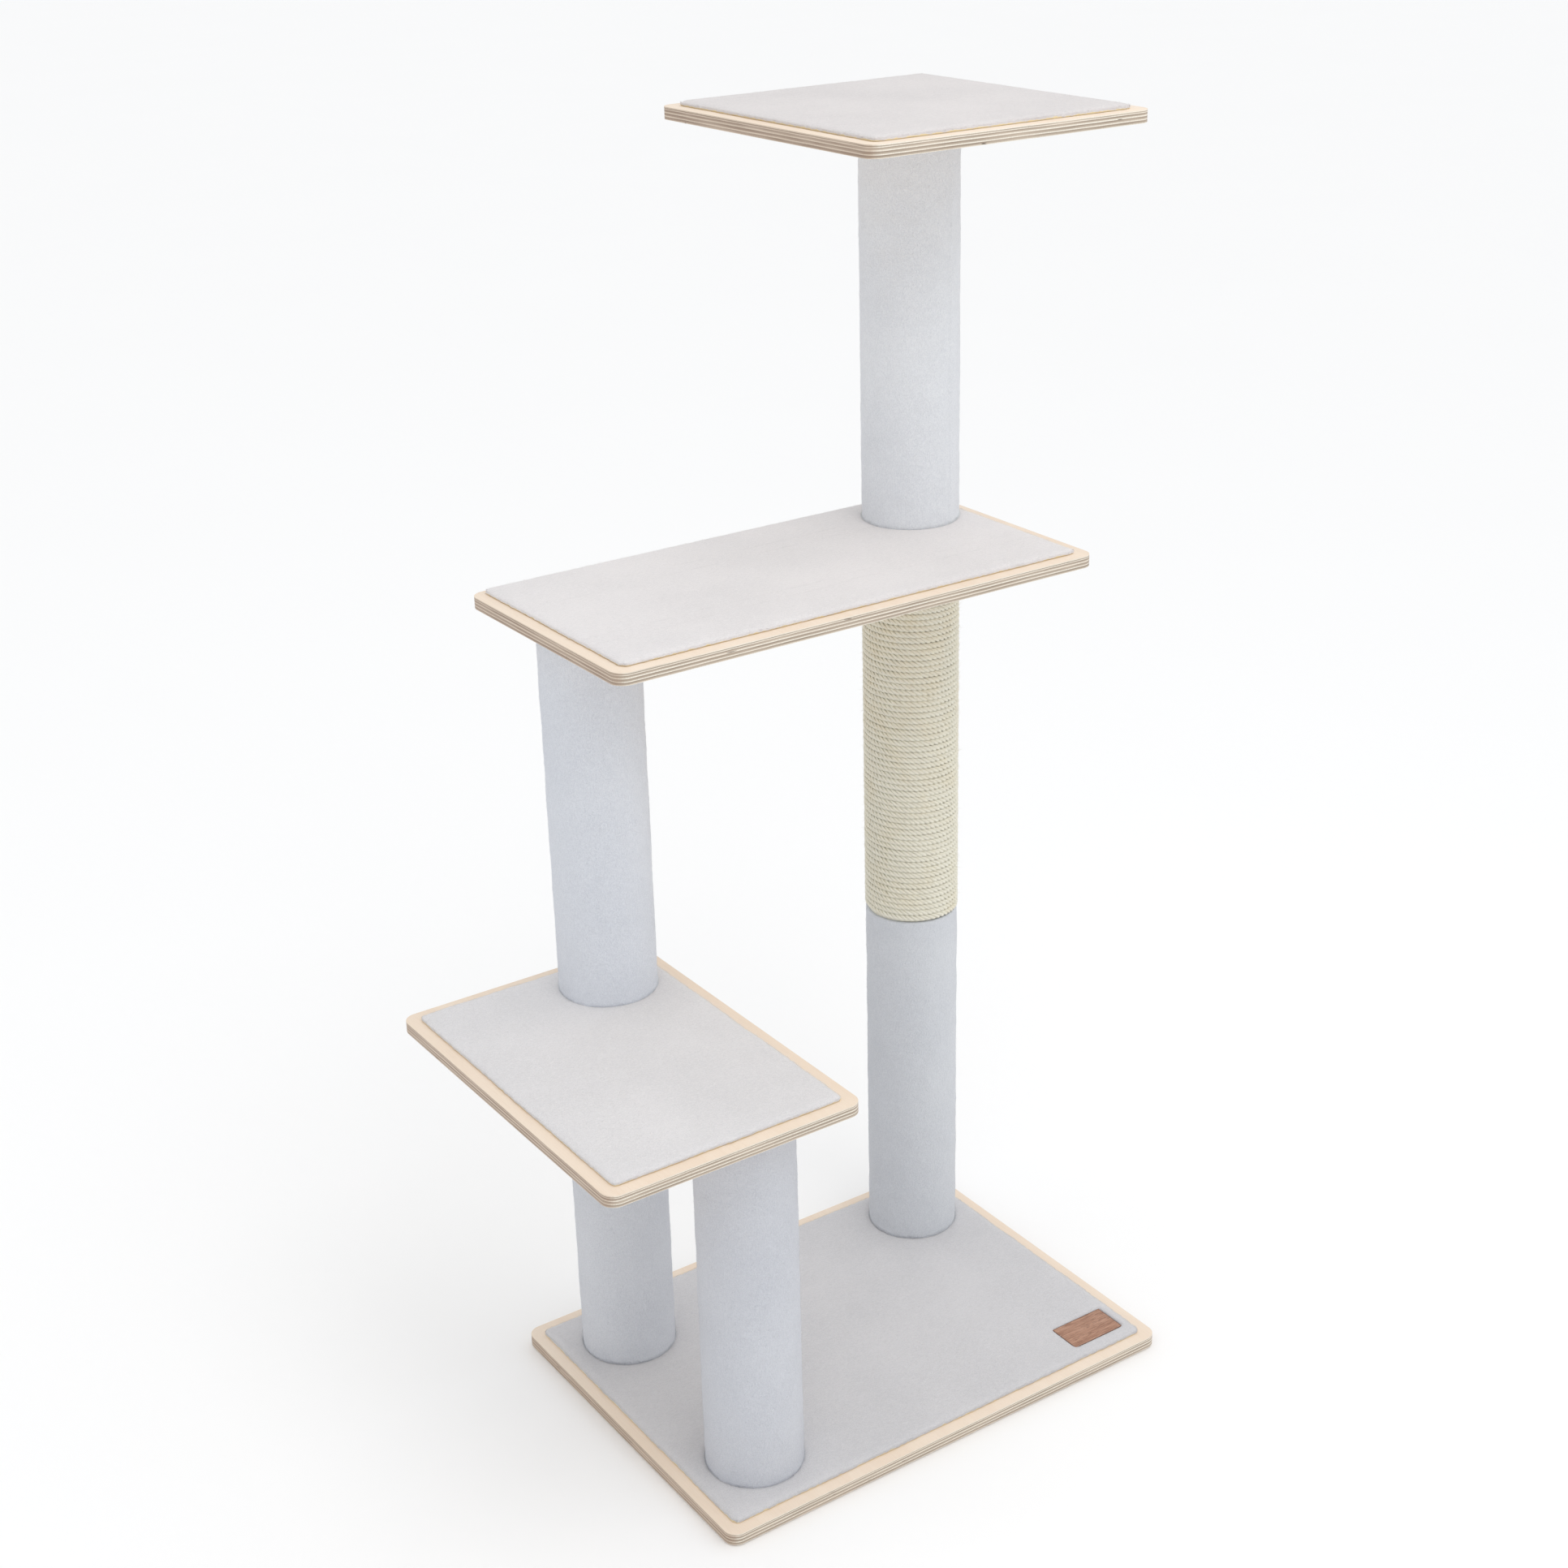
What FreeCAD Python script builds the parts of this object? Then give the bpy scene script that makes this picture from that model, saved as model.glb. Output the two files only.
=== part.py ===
import FreeCAD, Part
import os
import Sketcher

# Cat tree: a plywood base on felt, six round posts and three plywood platforms, all carpeted.
#
# Row frame, millimetres: the origin is the middle of the underside of the felt, on the floor.
# +Z is up, +X runs along the base's long side and +Y towards the edge that the two tall
# columns stand near. Every post is a cardboard tube with a glued sleeve, a plug in each end
# and a flanged insert nut in each plug. Bolts and studs through the boards pull the posts tight.

SIZES = {
    # Base board, its felt and the plate let into its carpet
    "base_length": 600,
    "base_width": 446,
    "base_thickness": 14,
    "felt_thickness": 2,
    "felt_margin": 3,
    "plate_length": 72,
    "plate_width": 42,
    "plate_thickness": 4,
    "plate_right_margin": 27,
    "plate_front_margin": 32,
    "plate_clearance": 0.5,
    # Platform boards
    "board_thickness": 13,
    "board_corner_radius": 15,
    "low_length": 299,
    "mid_width": 301,
    "top_length": 347,
    "top_width": 371,
    # From the edges of the base to the posts' sleeves
    "left_column_margin": 35.4,
    "left_column_back_margin": 32.4,
    "right_column_margin": 30.2,
    "right_column_back_margin": 25.9,
    "front_post_margin": 36.9,
    # How far the platforms reach beyond the sleeves
    "low_right_margin": 27.9,
    "low_front_margin": 42.9,
    "low_back_margin": 21.4,
    "mid_left_margin": 35.4,
    "mid_right_margin": 24.2,
    "mid_back_margin": 23.9,
    "top_right_margin": 55.9,
    "top_back_margin": 61.9,
    # Carpets
    "carpet_thickness": 6,
    "carpet_margin": 14,
    "mid_carpet_back_margin": 4,
    "carpet_corner_radius": 8,
    "carpet_hole_clearance": 0.5,
    # Posts
    "tube_radius": 49,
    "tube_wall": 4,
    "plush_thickness": 6,
    "rope_diameter": 6.8,
    "glue_gap": 0.1,
    "sleeve_end_radius": 2,
    "short_post_length": 458,
    "tall_post_length": 447,
    "rope_post_length": 466,
    "top_post_length": 450,
    # End plugs and insert nuts
    "plug_thickness": 18,
    "plug_clearance": 0.15,
    "insert_radius": 5.5,
    "insert_bore_radius": 4.1,
    "insert_flange_radius": 10,
    "insert_flange_thickness": 1.5,
    # Bolts, washers and studs
    "bolt_radius": 4,
    "bolt_length": 24,
    "bolt_head_radius": 7,
    "bolt_head_height": 4,
    "bolt_socket_radius": 2.5,
    "bolt_socket_depth": 2.2,
    "bolt_hole_radius": 4.5,
    "washer_radius": 10,
    "washer_thickness": 1.6,
    "recess_radius": 11,
    "recess_depth": 6,
    "stud_grip": 16,
    "stud_chamfer": 0.8,
}

document = FreeCAD.newDocument("cat_tree")
sheet = document.addObject("Spreadsheet::Sheet", "Sizes")
for row, (alias, value) in enumerate(SIZES.items(), start=1):
    sheet.set("A%d" % row, alias)
    sheet.set("B%d" % row, str(value))
    sheet.setAlias("B%d" % row, alias)
document.recompute()

subparts = []


def size(alias):
    """The expression that reads one cell of the sheet."""
    return "Sizes." + alias


def total(*terms):
    """The expression for a sum."""
    return "(" + " + ".join(terms) + ")"


def less(first, *terms):
    """The expression for the first term less the others."""
    return "(" + " - ".join((first,) + terms) + ")"


def times(factor, term):
    """The expression for a plain factor of a term."""
    return "(%g * %s)" % (factor, term)


# Levels, from the floor up
FELT_TOP = size("felt_thickness")
BASE_TOP = total(FELT_TOP, size("base_thickness"))
LOW_UNDER = total(BASE_TOP, size("short_post_length"))
LOW_TOP = total(LOW_UNDER, size("board_thickness"))
ROPE_FOOT = total(BASE_TOP, size("tall_post_length"))
MID_UNDER = total(ROPE_FOOT, size("rope_post_length"))
MID_TOP = total(MID_UNDER, size("board_thickness"))
TOP_UNDER = total(MID_TOP, size("top_post_length"))
UPPER_POST_LENGTH = less(MID_UNDER, LOW_TOP)

# Sleeves
SLEEVE_BORE = total(size("tube_radius"), size("glue_gap"))
PLUSH_RADIUS = total(SLEEVE_BORE, size("plush_thickness"))
ROPE_RADIUS = total(SLEEVE_BORE, size("rope_diameter"))
CARPET_HOLE = total(PLUSH_RADIUS, size("carpet_hole_clearance"))

# Column axes
BASE_LEFT = times(-0.5, size("base_length"))
BASE_FRONT = times(-0.5, size("base_width"))
BASE_RIGHT = times(0.5, size("base_length"))
BASE_BACK = times(0.5, size("base_width"))
LEFT_X = total(BASE_LEFT, size("left_column_margin"), PLUSH_RADIUS)
LEFT_Y = less(BASE_BACK, size("left_column_back_margin"), PLUSH_RADIUS)
RIGHT_X = less(BASE_RIGHT, size("right_column_margin"), PLUSH_RADIUS)
RIGHT_Y = less(BASE_BACK, size("right_column_back_margin"), PLUSH_RADIUS)
FRONT_Y = total(BASE_FRONT, size("front_post_margin"), PLUSH_RADIUS)


def reach(margin):
    """From a post's axis to the edge of a platform that it carries."""
    return total(PLUSH_RADIUS, size(margin))


def keep(item):
    """Count an object among the sub-parts that are written out."""
    item.Label = item.Name
    subparts.append(item)
    return item


def place(item, x, y, z):
    """Bind an object's place to expressions."""
    for axis, expression in zip("xyz", (x, y, z)):
        item.setExpression("Placement.Base." + axis, expression)


def plane_of(body, role):
    """One of a body's own origin planes."""
    return next(item for item in body.Origin.OriginFeatures if item.Role == role)


def new_sketch(body, name, level="0"):
    """A sketch on the body's horizontal plane, raised to a level."""
    sketch = body.newObject("Sketcher::SketchObject", name)
    sketch.AttachmentSupport = [(plane_of(body, "XY_Plane"), "")]
    sketch.MapMode = "FlatFace"
    sketch.setExpression("AttachmentOffset.Base.z", level)
    return sketch


def add_circle(sketch, index, x, y, radius):
    """A circle whose centre and radius follow expressions."""
    start = FreeCAD.Vector(10.0 + 40 * index, 10.0 + 40 * index, 0)
    circle = sketch.addGeometry(Part.Circle(start, FreeCAD.Vector(0, 0, 1), 5.0))
    constraints = (
        ("x", "DistanceX", start.x, x),
        ("y", "DistanceY", start.y, y),
    )
    for label, kind, value, expression in constraints:
        number = sketch.addConstraint(Sketcher.Constraint(kind, -1, 1, circle, 3, value))
        sketch.renameConstraint(number, "%s%d" % (label, index))
        sketch.setExpression("Constraints.%s%d" % (label, index), expression)
    number = sketch.addConstraint(Sketcher.Constraint("Radius", circle, 5.0))
    sketch.renameConstraint(number, "radius%d" % index)
    sketch.setExpression("Constraints.radius%d" % index, radius)


def add_rectangle(sketch, x, y, length, width):
    """A rectangle from its near corner, with its sides bound to expressions."""
    corners = [FreeCAD.Vector(*point, 0) for point in ((1, 1), (90, 1), (90, 60), (1, 60))]
    lines = [
        sketch.addGeometry(Part.LineSegment(corners[i], corners[(i + 1) % 4]))
        for i in range(4)
    ]
    for i in range(4):
        sketch.addConstraint(Sketcher.Constraint("Coincident", lines[i], 2, lines[(i + 1) % 4], 1))
        direction = "Horizontal" if i % 2 == 0 else "Vertical"
        sketch.addConstraint(Sketcher.Constraint(direction, lines[i]))
    bound = (
        ("length", Sketcher.Constraint("DistanceX", lines[0], 1, lines[0], 2, 89.0), length),
        ("width", Sketcher.Constraint("DistanceY", lines[1], 1, lines[1], 2, 59.0), width),
        ("left", Sketcher.Constraint("DistanceX", -1, 1, lines[0], 1, 1.0), x),
        ("front", Sketcher.Constraint("DistanceY", -1, 1, lines[0], 1, 1.0), y),
    )
    for label, constraint, expression in bound:
        number = sketch.addConstraint(constraint)
        sketch.renameConstraint(number, label)
        sketch.setExpression("Constraints." + label, expression)


def pad(body, sketch, length):
    """Raise a sketch into a solid."""
    feature = body.newObject("PartDesign::Pad", sketch.Name + "_pad")
    feature.Profile = sketch
    feature.setExpression("Length", length)
    document.recompute()
    return feature


def pocket(body, sketch, upward, depth=None):
    """Cut a sketch out of the body, through it all when no depth is given."""
    before = body.Shape.Volume
    feature = body.newObject("PartDesign::Pocket", sketch.Name + "_pocket")
    feature.Profile = sketch
    feature.Reversed = upward
    if depth is None:
        feature.Type = "ThroughAll"
    else:
        feature.setExpression("Length", depth)
    document.recompute()
    if not body.Shape.Volume < before:
        raise RuntimeError(feature.Name + " cuts nothing")
    return feature


def round_uprights(body, feature, radius):
    """Round the upright edges at a board's corners."""
    names = []
    for number, edge in enumerate(feature.Shape.Edges, start=1):
        if abs(edge.tangentAt(edge.FirstParameter).z) > 0.99:
            names.append("Edge%d" % number)
    fillet = body.newObject("PartDesign::Fillet", body.Name + "_corners")
    fillet.Base = (feature, names)
    fillet.setExpression("Radius", radius)
    document.recompute()


def slab(name, corner, length, width, thickness, corner_radius):
    """A rectangular board, carpet or plate with rounded corners, from its near left corner."""
    body = document.addObject("PartDesign::Body", name)
    outline = new_sketch(body, name + "_outline")
    add_rectangle(outline, "0", "0", length, width)
    feature = pad(body, outline, thickness)
    round_uprights(body, feature, corner_radius)
    place(body, *corner)
    return keep(body)


def drill(body, name, corner, centres, radius, level="0", upward=True, depth=None):
    """Round holes at centres given in the row frame."""
    sketch = new_sketch(body, body.Name + "_" + name, level)
    for index, (x, y) in enumerate(centres):
        add_circle(sketch, index, less(x, corner[0]), less(y, corner[1]), radius)
    return pocket(body, sketch, upward, depth)


def base_board():
    """The base: bolt holes with recesses underneath for the heads."""
    corner = (BASE_LEFT, BASE_FRONT, FELT_TOP)
    length, width, thickness = size("base_length"), size("base_width"), size("base_thickness")
    body = slab("base_board", corner, length, width, thickness, size("board_corner_radius"))
    centres = [(LEFT_X, FRONT_Y), (LEFT_X, LEFT_Y), (RIGHT_X, RIGHT_Y)]
    drill(body, "bolt_holes", corner, centres, size("bolt_hole_radius"))
    drill(body, "head_recesses", corner, centres, size("recess_radius"), depth=size("recess_depth"))


def platform(name, corner, length, width, stud_centres, bolt_centres):
    """A platform: plain holes for studs, recessed ones on top for bolts."""
    thickness = size("board_thickness")
    body = slab(name, corner, length, width, thickness, size("board_corner_radius"))
    drill(body, "holes", corner, stud_centres + bolt_centres, size("bolt_hole_radius"))
    drill(body, "head_recesses", corner, bolt_centres, size("recess_radius"), thickness,
          upward=False, depth=size("recess_depth"))


def carpet(name, corner, length, width, post_centres, back_margin="carpet_margin"):
    """A carpet glued inside a board's edge, with a round hole for each post through it."""
    margin = size("carpet_margin")
    inner = (total(corner[0], margin), total(corner[1], margin), corner[2])
    body = slab(name, inner, less(length, margin, margin), less(width, margin, size(back_margin)),
                size("carpet_thickness"), size("carpet_corner_radius"))
    if post_centres:
        drill(body, "post_holes", inner, post_centres, CARPET_HOLE)
    return body, inner


def name_plate():
    """The blank wooden plate, let into the base carpet near its front right corner."""
    x = less(BASE_RIGHT, size("plate_right_margin"), size("plate_length"))
    y = total(BASE_FRONT, size("plate_front_margin"))
    body = document.addObject("PartDesign::Body", "wooden_plate")
    outline = new_sketch(body, "wooden_plate_outline")
    add_rectangle(outline, "0", "0", size("plate_length"), size("plate_width"))
    pad(body, outline, size("plate_thickness"))
    place(body, x, y, BASE_TOP)
    keep(body)
    return x, y


def base_carpet(plate_x, plate_y):
    """The base carpet, cut out round three posts and the plate."""
    corner = (BASE_LEFT, BASE_FRONT, BASE_TOP)
    posts = [(LEFT_X, FRONT_Y), (LEFT_X, LEFT_Y), (RIGHT_X, RIGHT_Y)]
    body, inner = carpet("base_carpet", corner, size("base_length"), size("base_width"), posts)
    gap = size("plate_clearance")
    window = new_sketch(body, "base_carpet_window")
    add_rectangle(window, less(plate_x, inner[0], gap), less(plate_y, inner[1], gap),
                  total(size("plate_length"), gap, gap), total(size("plate_width"), gap, gap))
    pocket(body, window, upward=True)


def ring(name, outer, inner, length, centre, end_radius=None):
    """A tube on an upright axis, with its outer rims rounded when asked."""
    body = document.addObject("PartDesign::Body", name)
    outline = new_sketch(body, name + "_outline")
    add_circle(outline, 0, "0", "0", outer)
    add_circle(outline, 1, "0", "0", inner)
    feature = pad(body, outline, length)
    if end_radius is not None:
        edges = [
            (number, edge) for number, edge in enumerate(feature.Shape.Edges, start=1)
            if edge.Closed
        ]
        widest = max(edge.BoundBox.XLength for number, edge in edges)
        fillet = body.newObject("PartDesign::Fillet", name + "_rims")
        fillet.Base = (feature, [
            "Edge%d" % number for number, edge in edges
            if edge.BoundBox.XLength > 0.99 * widest
        ])
        fillet.setExpression("Radius", end_radius)
        document.recompute()
    place(body, *centre)
    return keep(body)


insert_nuts = []


def cylinder(name, radius, length, centre):
    """An upright cylinder, for pieces built from primitives."""
    item = document.addObject("Part::Cylinder", name)
    item.setExpression("Radius", radius)
    item.setExpression("Height", length)
    place(item, *centre)
    return item


def join(kind, name, first, second):
    """Fuse or cut two primitives."""
    item = document.addObject(kind, name)
    item.Base = first
    item.Tool = second
    return item


def insert_nut(x, y, mouth, inward):
    """A flanged insert nut: the flange lies on the plug's inner face, inside the tube."""
    name = "insert_nut_%d" % (len(insert_nuts) + 1)
    barrel_length = size("plug_thickness")
    flange = size("insert_flange_thickness")
    low = mouth if inward > 0 else less(mouth, barrel_length)
    flange_low = total(mouth, barrel_length) if inward > 0 else less(mouth, barrel_length, flange)
    bore_low = low if inward > 0 else flange_low
    barrel = cylinder(name + "_barrel", size("insert_radius"), barrel_length, (x, y, low))
    rim = cylinder(name + "_flange", size("insert_flange_radius"), flange, (x, y, flange_low))
    solid = join("Part::Fuse", name + "_solid", barrel, rim)
    bore = cylinder(name + "_bore", size("insert_bore_radius"), total(barrel_length, flange),
                    (x, y, bore_low))
    insert_nuts.append(join("Part::Cut", name, solid, bore))


def post(name, x, y, foot, length, rope=False):
    """A post: cardboard tube, sleeve of plush or wound rope, and a plug in each end."""
    bore = less(size("tube_radius"), size("tube_wall"))
    ring(name + "_tube", size("tube_radius"), bore, length, (x, y, foot))
    if rope:
        ring(name + "_rope", ROPE_RADIUS, SLEEVE_BORE, length, (x, y, foot))
    else:
        ring(name + "_plush", PLUSH_RADIUS, SLEEVE_BORE, length, (x, y, foot),
             size("sleeve_end_radius"))
    plug_radius = less(bore, size("plug_clearance"))
    head = less(total(foot, length), size("plug_thickness"))
    for end, level in (("lower", foot), ("upper", head)):
        ring("%s_%s_plug" % (name, end), plug_radius, size("insert_radius"),
             size("plug_thickness"), (x, y, level))
    insert_nut(x, y, foot, 1)
    insert_nut(x, y, total(foot, length), -1)


def bolt(name, x, y, seat, upward):
    """A low round-headed bolt with a hexagon socket; seat is the face its head bears on."""
    shank_low = seat if upward else less(seat, size("bolt_length"))
    head_low = less(seat, size("bolt_head_height")) if upward else seat
    socket_rise = less(size("bolt_head_height"), size("bolt_socket_depth"))
    socket_low = head_low if upward else total(seat, socket_rise)
    shank = cylinder(name + "_shank", size("bolt_radius"), size("bolt_length"), (x, y, shank_low))
    head = cylinder(name + "_head", size("bolt_head_radius"), size("bolt_head_height"),
                    (x, y, head_low))
    solid = join("Part::Fuse", name + "_solid", shank, head)
    socket = document.addObject("Part::Prism", name + "_socket")
    socket.Polygon = 6
    socket.setExpression("Circumradius", size("bolt_socket_radius"))
    socket.setExpression("Height", size("bolt_socket_depth"))
    place(socket, x, y, socket_low)
    return join("Part::Cut", name, solid, socket)


def washer(name, x, y, low):
    """A plain washer."""
    disc = cylinder(name + "_disc", size("washer_radius"), size("washer_thickness"), (x, y, low))
    hole = cylinder(name + "_hole", size("bolt_hole_radius"), size("washer_thickness"), (x, y, low))
    return join("Part::Cut", name, disc, hole)


def stud(name, x, y, low, length):
    """A headless stud with chamfered ends."""
    rod = cylinder(name + "_rod", size("bolt_radius"), length, (x, y, low))
    document.recompute()
    item = document.addObject("Part::Chamfer", name)
    item.Base = rod
    rims = [
        number for number, edge in enumerate(rod.Shape.Edges, start=1) if edge.Closed
    ]
    item.Edges = [(number, SIZES["stud_chamfer"], SIZES["stud_chamfer"]) for number in rims]
    return item


def group(name, items):
    """Identical fasteners as one sub-part of separate solids."""
    compound = document.addObject("Part::Compound", name)
    compound.Links = items
    keep(compound)


def boards():
    """The felt, the base, the three platforms, their carpets and the plate."""
    margin = size("felt_margin")
    felt_corner = (total(BASE_LEFT, margin), total(BASE_FRONT, margin), "0")
    slab("base_felt", felt_corner, less(size("base_length"), margin, margin),
         less(size("base_width"), margin, margin), size("felt_thickness"),
         less(size("board_corner_radius"), margin))
    base_board()
    plate_x, plate_y = name_plate()
    base_carpet(plate_x, plate_y)

    low_x = less(total(LEFT_X, reach("low_right_margin")), size("low_length"))
    low_y = less(FRONT_Y, reach("low_front_margin"))
    low_width = total(less(LEFT_Y, low_y), reach("low_back_margin"))
    mid_x = less(LEFT_X, reach("mid_left_margin"))
    mid_y = less(total(RIGHT_Y, reach("mid_back_margin")), size("mid_width"))
    mid_length = total(less(RIGHT_X, mid_x), reach("mid_right_margin"))
    top_x = less(total(RIGHT_X, reach("top_right_margin")), size("top_length"))
    top_y = less(total(RIGHT_Y, reach("top_back_margin")), size("top_width"))

    left, front, right = (LEFT_X, LEFT_Y), (LEFT_X, FRONT_Y), (RIGHT_X, RIGHT_Y)
    table = (
        ("low", (low_x, low_y), LOW_UNDER, size("low_length"), low_width, [left], [front],
         "carpet_margin"),
        ("mid", (mid_x, mid_y), MID_UNDER, mid_length, size("mid_width"), [right], [left],
         "mid_carpet_back_margin"),
        ("top", (top_x, top_y), TOP_UNDER, size("top_length"), size("top_width"), [], [right],
         "carpet_margin"),
    )
    for name, corner, under, length, width, studs, bolts, back_margin in table:
        platform(name + "_board", corner + (under,), length, width, studs, bolts)
        upper = total(under, size("board_thickness"))
        carpet(name + "_carpet", corner + (upper,), length, width, studs, back_margin)


def posts():
    """The six posts, from the floor up."""
    post("front_post", LEFT_X, FRONT_Y, BASE_TOP, size("short_post_length"))
    post("back_post", LEFT_X, LEFT_Y, BASE_TOP, size("short_post_length"))
    post("left_upper_post", LEFT_X, LEFT_Y, LOW_TOP, UPPER_POST_LENGTH)
    post("tall_post", RIGHT_X, RIGHT_Y, BASE_TOP, size("tall_post_length"))
    post("scratching_post", RIGHT_X, RIGHT_Y, ROPE_FOOT, size("rope_post_length"), rope=True)
    post("top_post", RIGHT_X, RIGHT_Y, MID_TOP, size("top_post_length"))


def fasteners():
    """Bolts, washers, studs and insert nuts, each kind grouped by where it is used."""
    shim = size("washer_thickness")
    recess_roof = total(FELT_TOP, size("recess_depth"))
    base_places = [(LEFT_X, FRONT_Y), (LEFT_X, LEFT_Y), (RIGHT_X, RIGHT_Y)]
    bolts, washers = [], []
    for number, (x, y) in enumerate(base_places, start=1):
        washers.append(washer("base_washer_%d" % number, x, y, less(recess_roof, shim)))
        bolts.append(bolt("base_bolt_%d" % number, x, y, less(recess_roof, shim), True))
    group("base_bolts", bolts)
    group("base_washers", washers)

    platform_places = [
        (LEFT_X, FRONT_Y, LOW_TOP),
        (LEFT_X, LEFT_Y, MID_TOP),
        (RIGHT_X, RIGHT_Y, total(TOP_UNDER, size("board_thickness"))),
    ]
    bolts, washers = [], []
    for number, (x, y, top) in enumerate(platform_places, start=1):
        floor = less(top, size("recess_depth"))
        washers.append(washer("platform_washer_%d" % number, x, y, floor))
        bolts.append(bolt("platform_bolt_%d" % number, x, y, total(floor, shim), False))
    group("platform_bolts", bolts)
    group("platform_washers", washers)

    grip = size("stud_grip")
    through_length = total(size("board_thickness"), grip, grip)
    group("board_studs", [
        stud("board_stud_1", LEFT_X, LEFT_Y, less(LOW_UNDER, grip), through_length),
        stud("board_stud_2", RIGHT_X, RIGHT_Y, less(MID_UNDER, grip), through_length),
    ])
    keep(stud("column_stud", RIGHT_X, RIGHT_Y, less(ROPE_FOOT, grip), total(grip, grip)))
    group("insert_nuts", insert_nuts)


def write_out():
    """Check every object and write each sub-part to its own file."""
    document.recompute()
    failed = [
        item.Name for item in document.Objects
        if "Invalid" in item.State or "Error" in item.State
    ]
    if failed:
        raise RuntimeError("objects that failed: " + ", ".join(failed))
    os.makedirs("parts", exist_ok=True)
    for item in subparts:
        if item.Shape.isNull() or not item.Shape.isValid() or not item.Shape.Solids:
            raise RuntimeError(item.Label + " has no valid solid")
    for item in subparts:
        item.Shape.exportStep("parts/" + item.Label + ".step")
    print(len(subparts), "sub-parts written")


boards()
posts()
fasteners()
write_out()
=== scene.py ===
import math

import bpy
import numpy as np
from bpy.props import FloatProperty, FloatVectorProperty, IntProperty, PointerProperty
from bpy.types import Operator, Panel, PropertyGroup
from mathutils import Matrix, Vector


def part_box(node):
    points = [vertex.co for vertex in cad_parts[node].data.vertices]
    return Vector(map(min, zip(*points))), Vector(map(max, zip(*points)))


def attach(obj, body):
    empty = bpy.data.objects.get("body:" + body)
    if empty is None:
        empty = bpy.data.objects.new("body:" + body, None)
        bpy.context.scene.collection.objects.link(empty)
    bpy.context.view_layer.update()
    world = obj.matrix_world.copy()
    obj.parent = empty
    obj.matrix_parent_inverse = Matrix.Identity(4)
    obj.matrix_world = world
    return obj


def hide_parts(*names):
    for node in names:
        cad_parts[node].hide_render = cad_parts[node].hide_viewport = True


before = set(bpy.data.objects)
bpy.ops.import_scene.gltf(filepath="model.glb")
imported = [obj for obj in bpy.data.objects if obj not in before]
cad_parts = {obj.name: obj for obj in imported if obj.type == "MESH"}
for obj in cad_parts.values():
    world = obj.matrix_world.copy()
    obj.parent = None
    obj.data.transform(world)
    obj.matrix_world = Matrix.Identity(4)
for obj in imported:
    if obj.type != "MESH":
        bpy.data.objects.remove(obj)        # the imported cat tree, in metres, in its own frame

bl_info = {
    "name": "Cat tree",
    "version": (1, 0, 0),
    "blender": (4, 5, 0),
    "location": "3D View > Sidebar > Cat tree",
    "description": "Plywood boards, carpets, plush posts and a rope-wound post for a cat tree",
    "category": "Add Mesh",
}

BODY = "root"
BOARDS = ("base_board", "low_board", "mid_board", "top_board")
CARPETS = ("base_carpet", "low_carpet", "mid_carpet", "top_carpet")
POSTS = ("front_post", "back_post", "left_upper_post", "tall_post", "scratching_post", "top_post")
PLUSH_POSTS = tuple(post for post in POSTS if post != "scratching_post")
STEEL = ("base_bolts", "base_washers", "platform_bolts", "platform_washers", "board_studs",
         "column_stud", "insert_nuts")
TURN = 2 * math.pi
CM2 = 1e-4
SNUG = 0.0030           # how far a carpet's hole closes in on its post, into the sleeve
RIM = 0.0010            # how far inside a cut edge its fringe is rooted
ROLL_OFF = 0.0024       # how much a carpet thins at its outer edge
ROLL_WIDTH = 0.0045     # how far in from the edge that thinning reaches
CARPET_CORNER = 0.008   # radius of a carpet's corners
FELT_CORNER = 0.012     # radius of the felt's corners
SLEEVE_ROLL = 0.0025    # radius of the rolled ends of a sleeve
SLEEVE_ROW = 0.0032     # spacing of a sleeve's rows of points
SEAM_WIDTH = 0.0022     # half width of a sleeve's sewn seam
STRAND_SIZE = 0.472     # a strand's radius, as a share of the rope's
STRAND_OFFSET = 0.545   # how far a strand's middle is from the rope's, in the same shares
FLATTENED = 1.20        # how much taller than deep the wound rope is
STEPS_PER_LAY = 7       # points along a strand in each lay of the rope

# How much lighter or darker than the common colour each cloth is made (red, green, blue): painted
# light and shade, so that it shows under these lamps as the real one does; the real cloths may all
# be one colour
CLOTH_PAINTED_LIGHT_AND_SHADE = {
    "front_post": (0.89, 0.89, 0.90),
    "back_post": (0.955, 0.955, 0.955),
    "left_upper_post": (1.06, 1.07, 1.08),
    "tall_post": (0.955, 0.96, 0.95),
    "top_post": (1.13, 1.13, 1.11),
    "base_carpet": (0.88, 0.885, 0.905),
    "low_carpet": (1.03, 1.03, 1.04),
    "mid_carpet": (1.075, 1.06, 1.06),
    "top_carpet": (0.975, 0.945, 0.935),
}

# Old fold lines across a carpet, as shares of its depth; each is a shallow crease with painted
# shade along it
FOLDS = {"mid_carpet": (0.22, 0.29, 0.70, 0.78)}

# Where the sewn seam of each plush sleeve lies, in degrees round the post from +X
SEAMS = {
    "front_post": 100,
    "back_post": 75,
    "left_upper_post": 60,
    "tall_post": 40,
    "top_post": -76,
}


# ---------------------------------------------------------------- settings

def colour(name, description, default):
    """A colour property."""
    return FloatVectorProperty(name=name, description=description, default=default,
                               subtype="COLOR", size=3, min=0, max=1)


def length(name, description, default):
    """A length property, in metres."""
    return FloatProperty(name=name, description=description, default=default, min=0,
                         unit="LENGTH", precision=5)


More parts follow.
